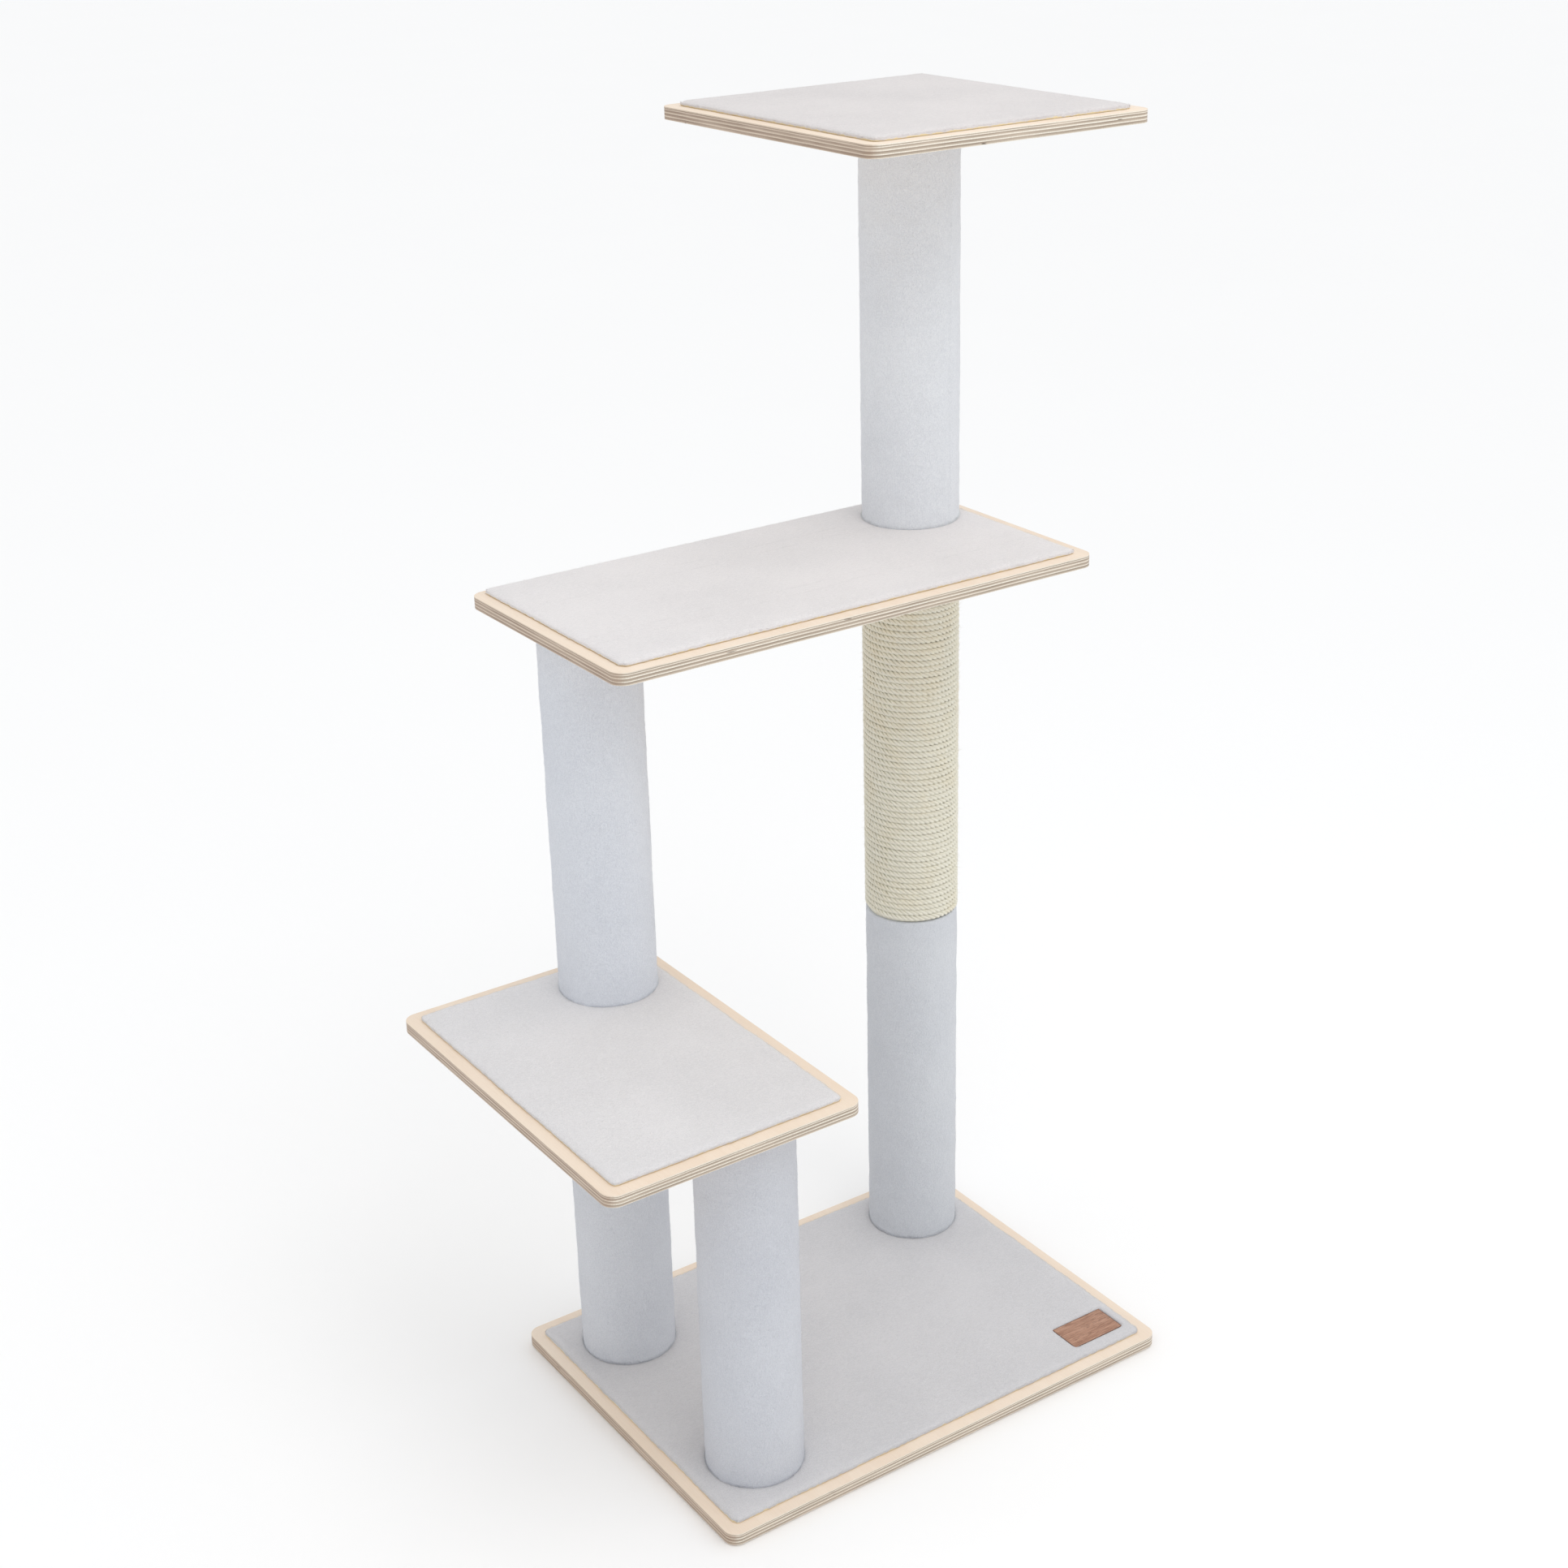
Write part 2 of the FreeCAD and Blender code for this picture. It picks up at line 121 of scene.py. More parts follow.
class CatTreeWood(PropertyGroup):
    face: colour("Birch face", "Face veneer of the boards", (0.855, 0.72, 0.585))
    face_dark: colour("Birch grain", "Darker grain in the face veneer", (0.79, 0.62, 0.47))
    thin_ply: colour("Thin ply", "Pale thin plies at the boards' edges", (0.88, 0.83, 0.72))
    thick_ply: colour("Thick ply", "Lower part of the thick plies", (0.57, 0.49, 0.395))
    # Dark end-grain colour, also used as painted shade on the upper side of the thick plies
    end_grain_and_shade: colour("End grain", "Dark upper part of the thick plies", (0.28, 0.205, 0.15))
    arris: length("Arris", "Rounding of the boards' sharp edges", 0.0008)
    plate: colour("Plate", "Red-brown wood of the small plate", (0.345, 0.17, 0.105))
    # Also used for the painted shade along the plate's edges
    plate_dark: colour("Plate pores", "Dark pores and figure of the plate", (0.15, 0.075, 0.05))


class CatTreePlush(PropertyGroup):
    fabric: colour("Plush", "Pile of the post sleeves", (0.78, 0.80, 0.845))
    shade: colour("Plush shade", "Deeper parts of the pile", (0.665, 0.685, 0.74))
    pile: length("Pile", "Length of the pile", 0.0025)
    fibre: length("Fibre", "Width of one tuft of pile", 0.00022)
    density: FloatProperty(name="Density", description="Tufts per square centimetre",
                           default=14, min=1)
    lean: FloatProperty(name="Lean", description="How far the pile leans from upright",
                        default=math.radians(66), subtype="ANGLE", unit="ROTATION")
    skirt: FloatProperty(name="Skirt", description="Extra tufts per metre round a post's foot",
                         default=6000, min=0)
    seam: length("Seam", "Depth of the sewn seam", 0.0011)


class CatTreeCarpet(PropertyGroup):
    lean: FloatProperty(name="Lean", description="How far the pile leans from upright",
                        default=math.radians(74), subtype="ANGLE", unit="ROTATION")
    pile_colour: colour("Carpet", "Pile of the carpets", (0.81, 0.795, 0.795))
    shade: colour("Carpet shade", "Deeper parts of the pile", (0.70, 0.69, 0.695))
    backing: colour("Backing", "Latex backing seen at the edges", (0.88, 0.74, 0.45))
    grid: length("Mesh size", "Size of the carpet mesh's faces", 0.0028)
    pile: length("Pile", "Length of the pile", 0.0023)
    fibre: length("Fibre", "Width of one tuft of pile", 0.00023)
    density: FloatProperty(name="Density", description="Tufts per square centimetre",
                           default=6, min=1)
    fringe: FloatProperty(name="Fringe", description="Tufts per metre of cut edge",
                          default=3800, min=0)
    ragged: length("Ragged edge", "How far the cut edge wanders", 0.0012)


class CatTreeRope(PropertyGroup):
    fibre_colour: colour("Sisal", "Pale sisal strands", (0.875, 0.86, 0.755))
    fibre_dark: colour("Sisal shade", "Darker sisal fibres", (0.60, 0.52, 0.37))
    turns: IntProperty(name="Turns", description="Turns of rope on the post", default=67, min=1)
    lay: length("Lay", "Length in which a strand goes once round the rope", 0.0178)
    loose: IntProperty(name="Loose fibres", description="Stray fibres standing off the rope",
                       default=2600, min=0)


class CatTreeStudio(PropertyGroup):
    floor: colour("Floor", "Plain pale floor", (0.98, 0.98, 0.98))
    sky: FloatProperty(name="Fill", description="Strength of the even studio light", default=0.83)
    key: FloatProperty(name="Key", description="Strength of the wide light from above",
                       default=0.55)
    front: FloatProperty(name="Front", description="Power of the soft light in front",
                         default=10, unit="POWER")
    camera: FloatVectorProperty(name="Camera", description="Place of the camera",
                                default=(-1.3520, -1.9268, 1.7422), subtype="XYZ",
                                unit="LENGTH")
    aim: FloatVectorProperty(name="Aim", description="Point at the middle of the view",
                             default=(-0.0417, 0.0279, 0.7255), subtype="XYZ",
                             unit="LENGTH")
    roll: FloatProperty(name="Roll", description="Turn of the camera about its view",
                        default=math.radians(-1.461), subtype="ANGLE", unit="ROTATION")
    lens: FloatProperty(name="Lens", description="Focal length in millimetres", default=55.106)


class CatTreeSettings(PropertyGroup):
    wood: PointerProperty(type=CatTreeWood)
    plush: PointerProperty(type=CatTreePlush)
    carpet: PointerProperty(type=CatTreeCarpet)
    rope: PointerProperty(type=CatTreeRope)
    studio: PointerProperty(type=CatTreeStudio)


# ---------------------------------------------------------------- finishes

class Finish:
    """A material round one Principled shader, with short ways to add its nodes."""

    def __init__(self, name, **fixed):
        self.material = bpy.data.materials.new(name)
        self.material.use_nodes = True
        self.tree = self.material.node_tree
        self.shader = self.tree.nodes["Principled BSDF"]
        for socket, value in fixed.items():
            self.shader.inputs[socket.replace("_", " ")].default_value = value
        self.place = self.node("TexCoord").outputs["Object"]

    def node(self, kind, inputs=(), **settings):
        """A node with its settings, and its inputs linked or set by name or number."""
        made = self.tree.nodes.new("ShaderNode" + kind)
        for key, value in settings.items():
            setattr(made, key, value)
        for key, value in dict(inputs).items():
            self.feed(made.inputs[key], value)
        return made

    def feed(self, socket, value):
        """Link an output to a socket, or set the socket's value."""
        if isinstance(value, bpy.types.NodeSocket):
            self.tree.links.new(value, socket)
        elif socket.type == "RGBA":
            socket.default_value = (*value, 1.0)
        else:
            socket.default_value = value

    def into(self, socket, value):
        """Drive one of the shader's own sockets."""
        self.feed(self.shader.inputs[socket], value)

    def math(self, operation, first, second=0.0):
        return self.node("Math", {0: first, 1: second}, operation=operation).outputs[0]

    def scaled(self, scale, source=None, turn=(0, 0, 0)):
        """The object's coordinates, stretched and turned."""
        inputs = {"Vector": source or self.place, "Scale": scale, "Rotation": turn}
        return self.node("Mapping", inputs).outputs[0]

    def noise(self, scale, detail=4.0, roughness=0.55, source=None, distortion=0.0):
        inputs = {"Vector": source or self.place, "Scale": scale, "Detail": detail,
                  "Roughness": roughness, "Distortion": distortion}
        return self.node("TexNoise", inputs).outputs["Fac"]

    def span(self, value, low, high, start=0.0, end=1.0):
        """A value moved from one range to another, and kept inside it."""
        inputs = {"Value": value, "From Min": low, "From Max": high, "To Min": start, "To Max": end}
        return self.node("MapRange", inputs).outputs[0]

    def mix(self, factor, first, second, blend="MIX"):
        inputs = {"Factor": factor, "A": first, "B": second}
        made = self.node("Mix", data_type="RGBA", blend_type=blend)
        for key, value in inputs.items():
            socket = next(s for s in made.inputs if s.name == key and s.enabled)
            self.feed(socket, value)
        return next(s for s in made.outputs if s.enabled)

    def veil(self, value, low, high, under, over, most=1.0):
        """One colour over another, from nothing at the low value to most at the high one."""
        return self.mix(self.span(value, low, high, 0.0, most), under, over)

    def ramp(self, value, stops):
        """A colour ramp with (place, colour) stops."""
        made = self.node("ValToRGB", {"Fac": value})
        elements = made.color_ramp.elements
        while len(elements) < len(stops):
            elements.new(1.0)
        for element, (place, shade) in zip(elements, stops):
            element.position = place
            element.color = (*shade, 1.0)
        return made.outputs["Color"]

    def bump(self, height, distance, strength=1.0, under=None):
        """Relief of a real depth, in metres."""
        inputs = {"Height": height, "Distance": distance, "Strength": strength}
        if under is not None:
            inputs["Normal"] = under
        return self.node("Bump", inputs).outputs[0]

    def parts(self, vector):
        """A vector's three numbers."""
        return self.node("SeparateXYZ", {0: vector}).outputs

    def normal_parts(self):
        """How much the surface faces along each axis, without sign."""
        parts = self.parts(self.node("NewGeometry").outputs["Normal"])
        return [self.math("ABSOLUTE", part) for part in parts]


# Thickness shares of a board's plies, from below; the odd ones lie across the others
PLIES = (0.7, 2.4, 1.1, 2.5, 1.3, 2.1, 0.8, 1.0, 1.1)


def ply_stops(thin, thick_foot, thick_shaded_head):
    """Ramp stops for pale thin plies, and thick ones that darken towards their upper side as
    painted shade.
    """
    blur, level, stops = 0.006, 0.0, []
    for n, share in enumerate(PLIES):
        upper = level + share / sum(PLIES)
        stops.append((level + blur, thick_foot if n % 2 else thin))
        stops.append((upper - blur, thick_shaded_head if n % 2 else thin))
        level = upper
    return stops


def birch_ply(board, wood):
    """Birch plywood: pale face veneer with its grain along Y, and plies round the edge."""
    low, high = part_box(board)
    finish = Finish("birch_ply_" + board, Roughness=0.5)
    figure = finish.noise(1.0, 5, 0.6, finish.scaled((30.0, 3.0, 30.0)), 0.9)
    streaks = finish.noise(1.0, 3, 0.7, finish.scaled((800.0, 24.0, 300.0)))
    cloud = finish.noise(3.2, 2, 0.5)
    tone = finish.veil(figure, 0.40, 0.75, wood.face, wood.face_dark, 0.55)
    tone = finish.veil(streaks, 0.50, 0.80, tone, (0.62, 0.46, 0.31), 0.22)
    face = finish.veil(cloud, 0.35, 0.75, tone, (0.88, 0.79, 0.69), 0.30)

    height = finish.parts(finish.place)["Z"]
    waver = finish.span(finish.noise(11.0, 3), 0.3, 0.7, -0.014, 0.014)
    rise = finish.math("ADD", finish.span(height, low.z, high.z), waver)
    end_grain_and_shade = wood.end_grain_and_shade
    # Edges facing along X get a darker, browner copy of the same plies: painted shade on those
    # sides
    lit_and_shaded_plies = [
        finish.ramp(rise, ply_stops(wood.thin_ply, wood.thick_ply, end_grain_and_shade)),
        finish.ramp(rise, ply_stops((0.68, 0.57, 0.45), (0.42, 0.305, 0.23), (0.30, 0.21, 0.155))),
    ]
    x_part, y_part, z_part = finish.normal_parts()
    plies = finish.veil(x_part, 0.4, 0.8, lit_and_shaded_plies[0], lit_and_shaded_plies[1])
    short = finish.noise(1.0, 3, 0.65, finish.scaled((1400.0, 1400.0, 260.0)))
    plies = finish.veil(short, 0.42, 0.66, plies, end_grain_and_shade, 0.22)
    broad = finish.noise(16.0, 2, 0.5, finish.scaled((1.0, 1.0, 22.0)))
    plies = finish.veil(broad, 0.40, 0.75, plies, wood.face, 0.35)
    dusk = finish.noise(9.0, 3, 0.6, finish.scaled((1.0, 1.0, 40.0)))
    plies = finish.veil(dusk, 0.55, 0.80, plies, (0.30, 0.21, 0.14), 0.45)
    gaps = finish.noise(1.0, 1, 0.4, finish.scaled((42.0, 42.0, 480.0)))
    plies = finish.veil(gaps, 0.775, 0.80, plies, (0.06, 0.035, 0.02), 0.85)

    flat = finish.span(z_part, 0.72, 0.92)
    finish.into("Base Color", finish.mix(flat, plies, face))
    finish.into("Roughness", finish.span(streaks, 0.3, 0.8, 0.46, 0.62))
    relief = finish.bump(finish.math("MULTIPLY", short, finish.math("SUBTRACT", 1.0, flat)),
                         0.00016)
    finish.into("Normal", finish.bump(streaks, 0.00005, 0.7, relief))
    return finish.material


def pile_fabric(name, bright, deep, grain, stroke, relief):
    """Short brushed pile: fine strokes of soft shade with little relief."""
    finish = Finish(name, Roughness=0.95, Sheen_Weight=0.3, Sheen_Roughness=0.55,
                    Specular_IOR_Level=0.12)
    strokes = finish.noise(1.0, 3, 0.65, finish.scaled(stroke), 0.6)
    fine = finish.noise(grain, 4, 0.7)
    broad = finish.noise(9.0, 3, 0.5)
    mixed = finish.math("ADD", finish.math("MULTIPLY", fine, 0.5),
                        finish.math("MULTIPLY", strokes, 0.3))
    mixed = finish.math("ADD", mixed, finish.math("MULTIPLY", broad, 0.2))
    finish.into("Base Color", finish.veil(mixed, 0.40, 0.57, deep, bright))
    finish.into("Normal", finish.bump(finish.math("ADD", fine, strokes), relief, 0.6))
    return finish


def carpet_finish(name, board_top, bright, deep, folds, settings):
    """Carpet pile, with the latex backing showing along the foot of its cut edge, and painted shade
    along its old fold lines.
    """
    finish = pile_fabric(name, bright, deep, 900.0, (240.0, 520.0, 400.0), 0.0017)
    pile = finish.shader.inputs["Base Color"].links[0].from_socket
    across, height = finish.parts(finish.place)["Y"], finish.parts(finish.place)["Z"]
    waver = finish.span(finish.noise(140.0, 3), 0.3, 0.7, -0.0009, 0.0009)
    rise = finish.math("ADD", height, waver)
    foot = finish.span(rise, board_top + 0.0011, board_top + 0.0016, 1.0, 0.0)
    drift = finish.span(finish.noise(7.0, 3), 0.3, 0.7, -0.004, 0.004)
    across = finish.math("ADD", across, drift)
    broken = finish.span(finish.noise(24.0, 2), 0.40, 0.66, 0.0, 0.15)
    # Painted shade along each old fold line, in broken strokes
    for line in folds:
        near = finish.math("ABSOLUTE", finish.math("SUBTRACT", across, line))
        painted_fold_shade = finish.math("MULTIPLY", finish.span(near, 0.0003, 0.0024, 1.0, 0.0), broken)
        pile = finish.mix(painted_fold_shade, pile, (0.56, 0.55, 0.55))
    finish.into("Base Color", finish.mix(foot, pile, settings.backing))
    return finish.material


def with_painted_light_and_shade(cloth, *tones):
    """Colours made lighter or darker for one cloth, as painted light and shade."""
    return [tuple(np.multiply(tone, CLOTH_PAINTED_LIGHT_AND_SHADE[cloth])) for tone in tones]


def tuft_finish(name, bright):
    """The tufts that stand off a pile fabric, partly lighter than the fabric as painted light."""
    finish = Finish(name, Roughness=0.9, Sheen_Weight=0.25, Sheen_Roughness=0.5,
                    Specular_IOR_Level=0.2)
    shade = finish.noise(420.0, 2, 0.6)
    # Up to 6% lighter than the fabric: painted light against the tufts' own shadows
    finish.into("Base Color", finish.veil(shade, 0.3, 0.62, bright,
                                          tuple(min(1.06 * c, 0.95) for c in bright)))
    return finish.material


def sisal_finish(settings):
    """Sisal fibre: fine streaks along each strand, read from the strand's own map."""
    finish = Finish("sisal", Roughness=0.8, Sheen_Weight=0.15, Specular_IOR_Level=0.3)
    strand = finish.node("UVMap", uv_map="strand").outputs["UV"]
    streaks = finish.noise(1.0, 4, 0.7, finish.scaled((90.0, 9.0, 1.0), strand))
    patches = finish.noise(26.0, 3, 0.6)
    bright, deep = settings.fibre_colour, settings.fibre_dark
    tone = finish.veil(streaks, 0.44, 0.70, bright, deep, 0.8)
    finish.into("Base Color", finish.veil(patches, 0.45, 0.8, tone, (0.78, 0.69, 0.49), 0.45))
    finish.into("Normal", finish.bump(streaks, 0.0003, 0.6))
    return finish.material


def plate_finish(wood):
    """Open-grained red-brown wood with dark flecks along it and painted shade along its edges."""
    low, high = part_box("wooden_plate")
    finish = Finish("plate_wood", Roughness=0.6)
    figure = finish.noise(1.0, 5, 0.6, finish.scaled((26.0, 260.0, 120.0)), 1.2)
    pores = finish.noise(1.0, 3, 0.75, finish.scaled((75.0, 1100.0, 900.0)), 0.8)
    tone = finish.veil(figure, 0.36, 0.66, wood.plate, (0.53, 0.31, 0.215))
    tone = finish.veil(pores, 0.50, 0.66, tone, wood.plate_dark, 0.78)
    parts = finish.parts(finish.place)
    edge = []
    for axis in (0, 1):
        middle, half = (low[axis] + high[axis]) / 2, (high[axis] - low[axis]) / 2
        away = finish.math("ABSOLUTE", finish.math("SUBTRACT", parts[axis], middle))
        edge.append(finish.span(away, half - 0.0014, half - 0.0003))
    # Painted shade along the plate's edges, where it meets the carpet
    painted_edge_shade = finish.math("MULTIPLY", finish.math("MAXIMUM", *edge), 0.75)
    finish.into("Base Color", finish.mix(painted_edge_shade, tone, wood.plate_dark))
    finish.into("Roughness", finish.span(pores, 0.4, 0.7, 0.5, 0.8))
    finish.into("Normal", finish.bump(pores, 0.00018))
    return finish.material


def speckled(name, scale, tones, relief, detail=4, roughness=0.7, distortion=0.0, **fixed):
    """A matted or pressed material: fine specks of two tones, with a little relief."""
    finish = Finish(name, **fixed)
    speck = finish.noise(scale, detail, roughness, distortion=distortion)
    tone = finish.mix(finish.span(speck, 0.35, 0.65), *tones)
    finish.into("Base Color", tone)
    finish.into("Normal", finish.bump(speck, relief))
    return finish, tone


def felt_finish():
    """Thin pale felt: matted fibres in every direction."""
    return speckled("pale_felt", 900.0, ((0.60, 0.63, 0.69), (0.78, 0.80, 0.84)), 0.0005, 5, 0.75,
                    2.0, Roughness=1.0, Sheen_Weight=0.3, Specular_IOR_Level=0.1)[0].material


def cardboard_finish():
    """Spiral-wound brown board."""
    finish, tone = speckled("tube_board", 700.0, ((0.36, 0.24, 0.14), (0.47, 0.33, 0.21)), 0.0001,
                            Roughness=0.85)
    wrap = finish.noise(1.0, 2, 0.5, finish.scaled((8.0, 8.0, 60.0)))
    finish.into("Base Color", finish.veil(wrap, 0.45, 0.7, tone, (0.55, 0.41, 0.27), 0.35))
    return finish.material


def fibreboard_finish():
    """Pressed fibreboard of the end plugs."""
    return speckled("fibreboard", 1300.0, ((0.42, 0.29, 0.18), (0.58, 0.44, 0.30)), 0.00012, 5,
                    0.8, Roughness=0.75)[0].material


def zinc_finish():
    """Bright zinc plating with faint cloudy staining."""
    finish = Finish("zinc_plating", Metallic=1.0)
    cloud = finish.noise(180.0, 4, 0.6)
    finish.into("Base Color", finish.veil(cloud, 0.35, 0.7, (0.62, 0.63, 0.65), (0.74, 0.74, 0.72)))
    finish.into("Roughness", finish.span(cloud, 0.3, 0.7, 0.24, 0.42))
    return finish.material


# ---------------------------------------------------------------- mesh helpers

def ripple(points, wavelength, seed, waves=14):
    """A smooth random field from -1 to 1 over points, with bumps of about one wavelength."""
    draw = np.random.default_rng(seed)
    ways = draw.normal(size=(waves, points.shape[1]))
    ways /= np.linalg.norm(ways, axis=1, keepdims=True)
    pace = TURN / wavelength * draw.uniform(0.6, 1.6, (waves, 1))
    phase = draw.uniform(0, TURN, waves)
    return np.sin(points @ (ways * pace).T + phase).sum(1) / math.sqrt(2 * waves)


def joined_mesh(name, points, faces, caps=(), maps=None):
    """A smooth mesh of even faces, with end caps and a map of how its strands run if given."""
    mesh = bpy.data.meshes.new(name)
    sizes = np.array([faces.shape[1]] * len(faces) + [len(cap) for cap in caps])
    corners = np.concatenate([faces.ravel(), *caps])
    mesh.vertices.add(len(points))
    mesh.vertices.foreach_set("co", points.astype(np.float32).ravel())
    mesh.loops.add(len(corners))
    mesh.loops.foreach_set("vertex_index", corners.astype(np.int32))
    mesh.polygons.add(len(sizes))
    starts = np.cumsum(sizes) - sizes
    mesh.polygons.foreach_set("loop_start", starts.astype(np.int32))
    mesh.update(calc_edges=True)
    if maps is not None:
        layer = mesh.uv_layers.new(name="strand")
        padded = np.zeros((len(corners), 2), np.float32)
        padded[:len(maps)] = maps
        layer.data.foreach_set("uv", padded.ravel())
    mesh.polygons.foreach_set("use_smooth", np.full(len(sizes), True))
    mesh.update()
    return mesh


def build_mesh(name, points, faces):
    """A smooth mesh from point rows and face rows of one size."""
    mesh = joined_mesh(name, points, faces)
    if mesh.validate():
        raise RuntimeError(name + " has faces that Blender refuses")
    return mesh


def ring_faces(rows, around):
    """Quads between rings of points, each ring's points numbered after the last ring's."""
    row = np.arange(rows - 1)[:, None] * around
    step = np.arange(around)[None, :]
    after = (step + 1) % around
    above = row + around
    return np.stack([row + step, row + after, above + after, above + step], 2).reshape(-1, 4)


def add_piece(name, mesh, material, replaces=()):
    """Put a mesh in the scene, riding on the frame."""
    piece = bpy.data.objects.new(name, mesh)
    bpy.context.scene.collection.objects.link(piece)
    mesh.materials.append(material)
    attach(piece, BODY)
    if replaces:
        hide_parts(*replaces)
    return piece


def dress(node, material):
    """Give a node of the frame its finish."""
    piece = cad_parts[node]
    piece.data.materials.clear()
    piece.data.materials.append(material)
    return piece


def ease_edges(piece, width):
    """Round a hard piece's sharp edges a little."""
    piece.data.polygons.foreach_set("use_smooth", np.full(len(piece.data.polygons), True))
    weld = piece.modifiers.new("weld", "WELD")
    weld.merge_threshold = 1e-5
    bevel = piece.modifiers.new("arris", "BEVEL")
    bevel.width = width
    bevel.segments = 3
    bevel.limit_method = "ANGLE"
    bevel.angle_limit = math.radians(40)
    bevel.harden_normals = True


def tuft_mesh(name, roots, ways, lengths, width):
    """Tufts of pile as slim closed spikes, each with three sides and a foot."""
    ways = ways / np.linalg.norm(ways, axis=1, keepdims=True)
    helper = np.where(np.abs(ways[:, 2:3]) < 0.8, [[0.0, 0.0, 1.0]], [[1.0, 0.0, 0.0]])
    side = np.cross(ways, helper)
    side /= np.linalg.norm(side, axis=1, keepdims=True)
    other = np.cross(ways, side)
    feet = [
        roots + width / 2 * (math.cos(turn) * side + math.sin(turn) * other)
        for turn in (0, TURN / 3, 2 * TURN / 3)
    ]
    tips = roots + ways * lengths[:, None]
    points = np.stack([*feet, tips], axis=1).reshape(-1, 3)
    pattern = np.array([(0, 1, 3), (1, 2, 3), (2, 0, 3), (0, 2, 1)])
    faces = (np.arange(len(roots))[:, None, None] * 4 + pattern).reshape(-1, 3)
    return build_mesh(name, points, faces)


# ---------------------------------------------------------------- plush posts

def post_axis(post):
    """The x, y of a post's axis, its lowest and highest level, and its tube's radius."""
    low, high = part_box(post + "_tube")
    return (low.x + high.x) / 2, (low.y + high.y) / 2, low.z, high.z, (high.x - low.x) / 2


def sleeve_offset(turn, level, post, settings):
    """How far the fabric's surface stands off its mean, with the groove of its seam."""
    seed = POSTS.index(post)
    spread = 0.053
    points = np.stack([np.cos(turn) * spread, np.sin(turn) * spread, level], axis=1)
    swell = 0.00035 * ripple(points, 0.045, 10 + seed) + 0.00018 * ripple(points, 0.012, 20 + seed)
    away = np.abs((turn - math.radians(SEAMS[post]) + math.pi) % TURN - math.pi) * spread
    waver = away + 0.0006 * ripple(points, 0.03, 30 + seed)
    return swell - settings.seam * np.exp(-(waver / SEAM_WIDTH) ** 2)


def sleeve_mesh(post, settings, surface):
    """A closed sleeve of fabric, turned about the post's axis, with rolled ends."""
    x, y, low, high, bore = post_axis(post)
    around, roll = 168, SLEEVE_ROLL
    rows = int((high - low - 2 * roll) / SLEEVE_ROW)
    outer = np.linspace(low + roll, high - roll, rows)
    quarter = np.linspace(0, math.pi / 2, 4)[:-1]
    foot = [(surface - roll + roll * math.sin(a), low + roll - roll * math.cos(a)) for a in quarter]
    head = [(radius, low + high - level) for radius, level in reversed(foot)]
    profile = np.array([(bore + 0.0001, low), *foot, *[(surface, level) for level in outer],
                        *head, (bore + 0.0001, high)])
    turn = np.linspace(0, TURN, around, endpoint=False)
    turns, levels = np.meshgrid(turn, profile[:, 1])
    radii = np.repeat(profile[:, :1], around, axis=1)
    offset = sleeve_offset(turns.ravel(), levels.ravel(), post, settings).reshape(radii.shape)
    radii = radii + np.where(radii > surface - 0.001, offset, 0)
    points = np.stack([x + radii * np.cos(turns), y + radii * np.sin(turns), levels], axis=2)
    points = points.reshape(-1, 3)
    faces = ring_faces(len(profile) + 1, around) % len(points)
    return build_mesh(post + "_sleeve", points, faces)


def sleeve_tufts(post, settings, surface):
    """Pile standing off a sleeve, combed down, with its roots following the seam's groove."""
    x, y, low, high = post_axis(post)[:4]
    draw = np.random.default_rng(40 + POSTS.index(post))
    count = int(settings.density * TURN * surface * (high - low) / CM2)
    turn = draw.uniform(0, TURN, count)
    level = draw.uniform(low + 0.0008, high - 0.0008, count)
    outward = np.stack([np.cos(turn), np.sin(turn), np.zeros(count)], axis=1)
    sideways = np.stack([-np.sin(turn), np.cos(turn), np.zeros(count)], axis=1)
    radius = surface + sleeve_offset(turn, level, post, settings) - 0.0003
    roots = np.stack([x + radius * np.cos(turn), y + radius * np.sin(turn), level], axis=1)
    patch = ripple(roots, 0.035, 50 + POSTS.index(post))
    fine = ripple(roots, 0.011, 60 + POSTS.index(post))
    swing = 0.75 * patch + 0.55 * fine + draw.normal(0, 0.55, count)
    lean = settings.lean * (1 + 0.1 * fine) + draw.normal(0, 0.16, count)
    lean = np.clip(lean, 0.05, 1.4)
    combed = np.cos(swing)[:, None] * [[0.0, 0.0, -1.0]] + np.sin(swing)[:, None] * sideways
    ways = np.cos(lean)[:, None] * outward + np.sin(lean)[:, None] * combed
    lengths = settings.pile * draw.uniform(0.7, 1.15, count)
    room = np.minimum(level - low, high - level) / np.maximum(np.abs(ways[:, 2]), 0.05)
    lengths = np.minimum(lengths, np.maximum(room, 0.0012))
    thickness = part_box("base_carpet")[1].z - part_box("base_carpet")[0].z
    skirt = int(TURN * surface * settings.skirt)
    turn = draw.uniform(0, TURN, skirt)
    level = low + thickness + draw.uniform(-0.0012, 0.0022, skirt)
    outward = np.stack([np.cos(turn), np.sin(turn), np.zeros(skirt)], axis=1)
    feet = np.stack([x + surface * np.cos(turn), y + surface * np.sin(turn), level], axis=1)
    out = outward + draw.normal(0, 0.45, (skirt, 3)) + [0, 0, 0.1]
    roots, ways = np.concatenate([roots, feet]), np.concatenate([ways, out])
    lengths = np.concatenate([lengths, draw.uniform(0.0012, 0.0024, skirt)])
    return tuft_mesh(post + "_pile", roots, ways, lengths, settings.fibre)


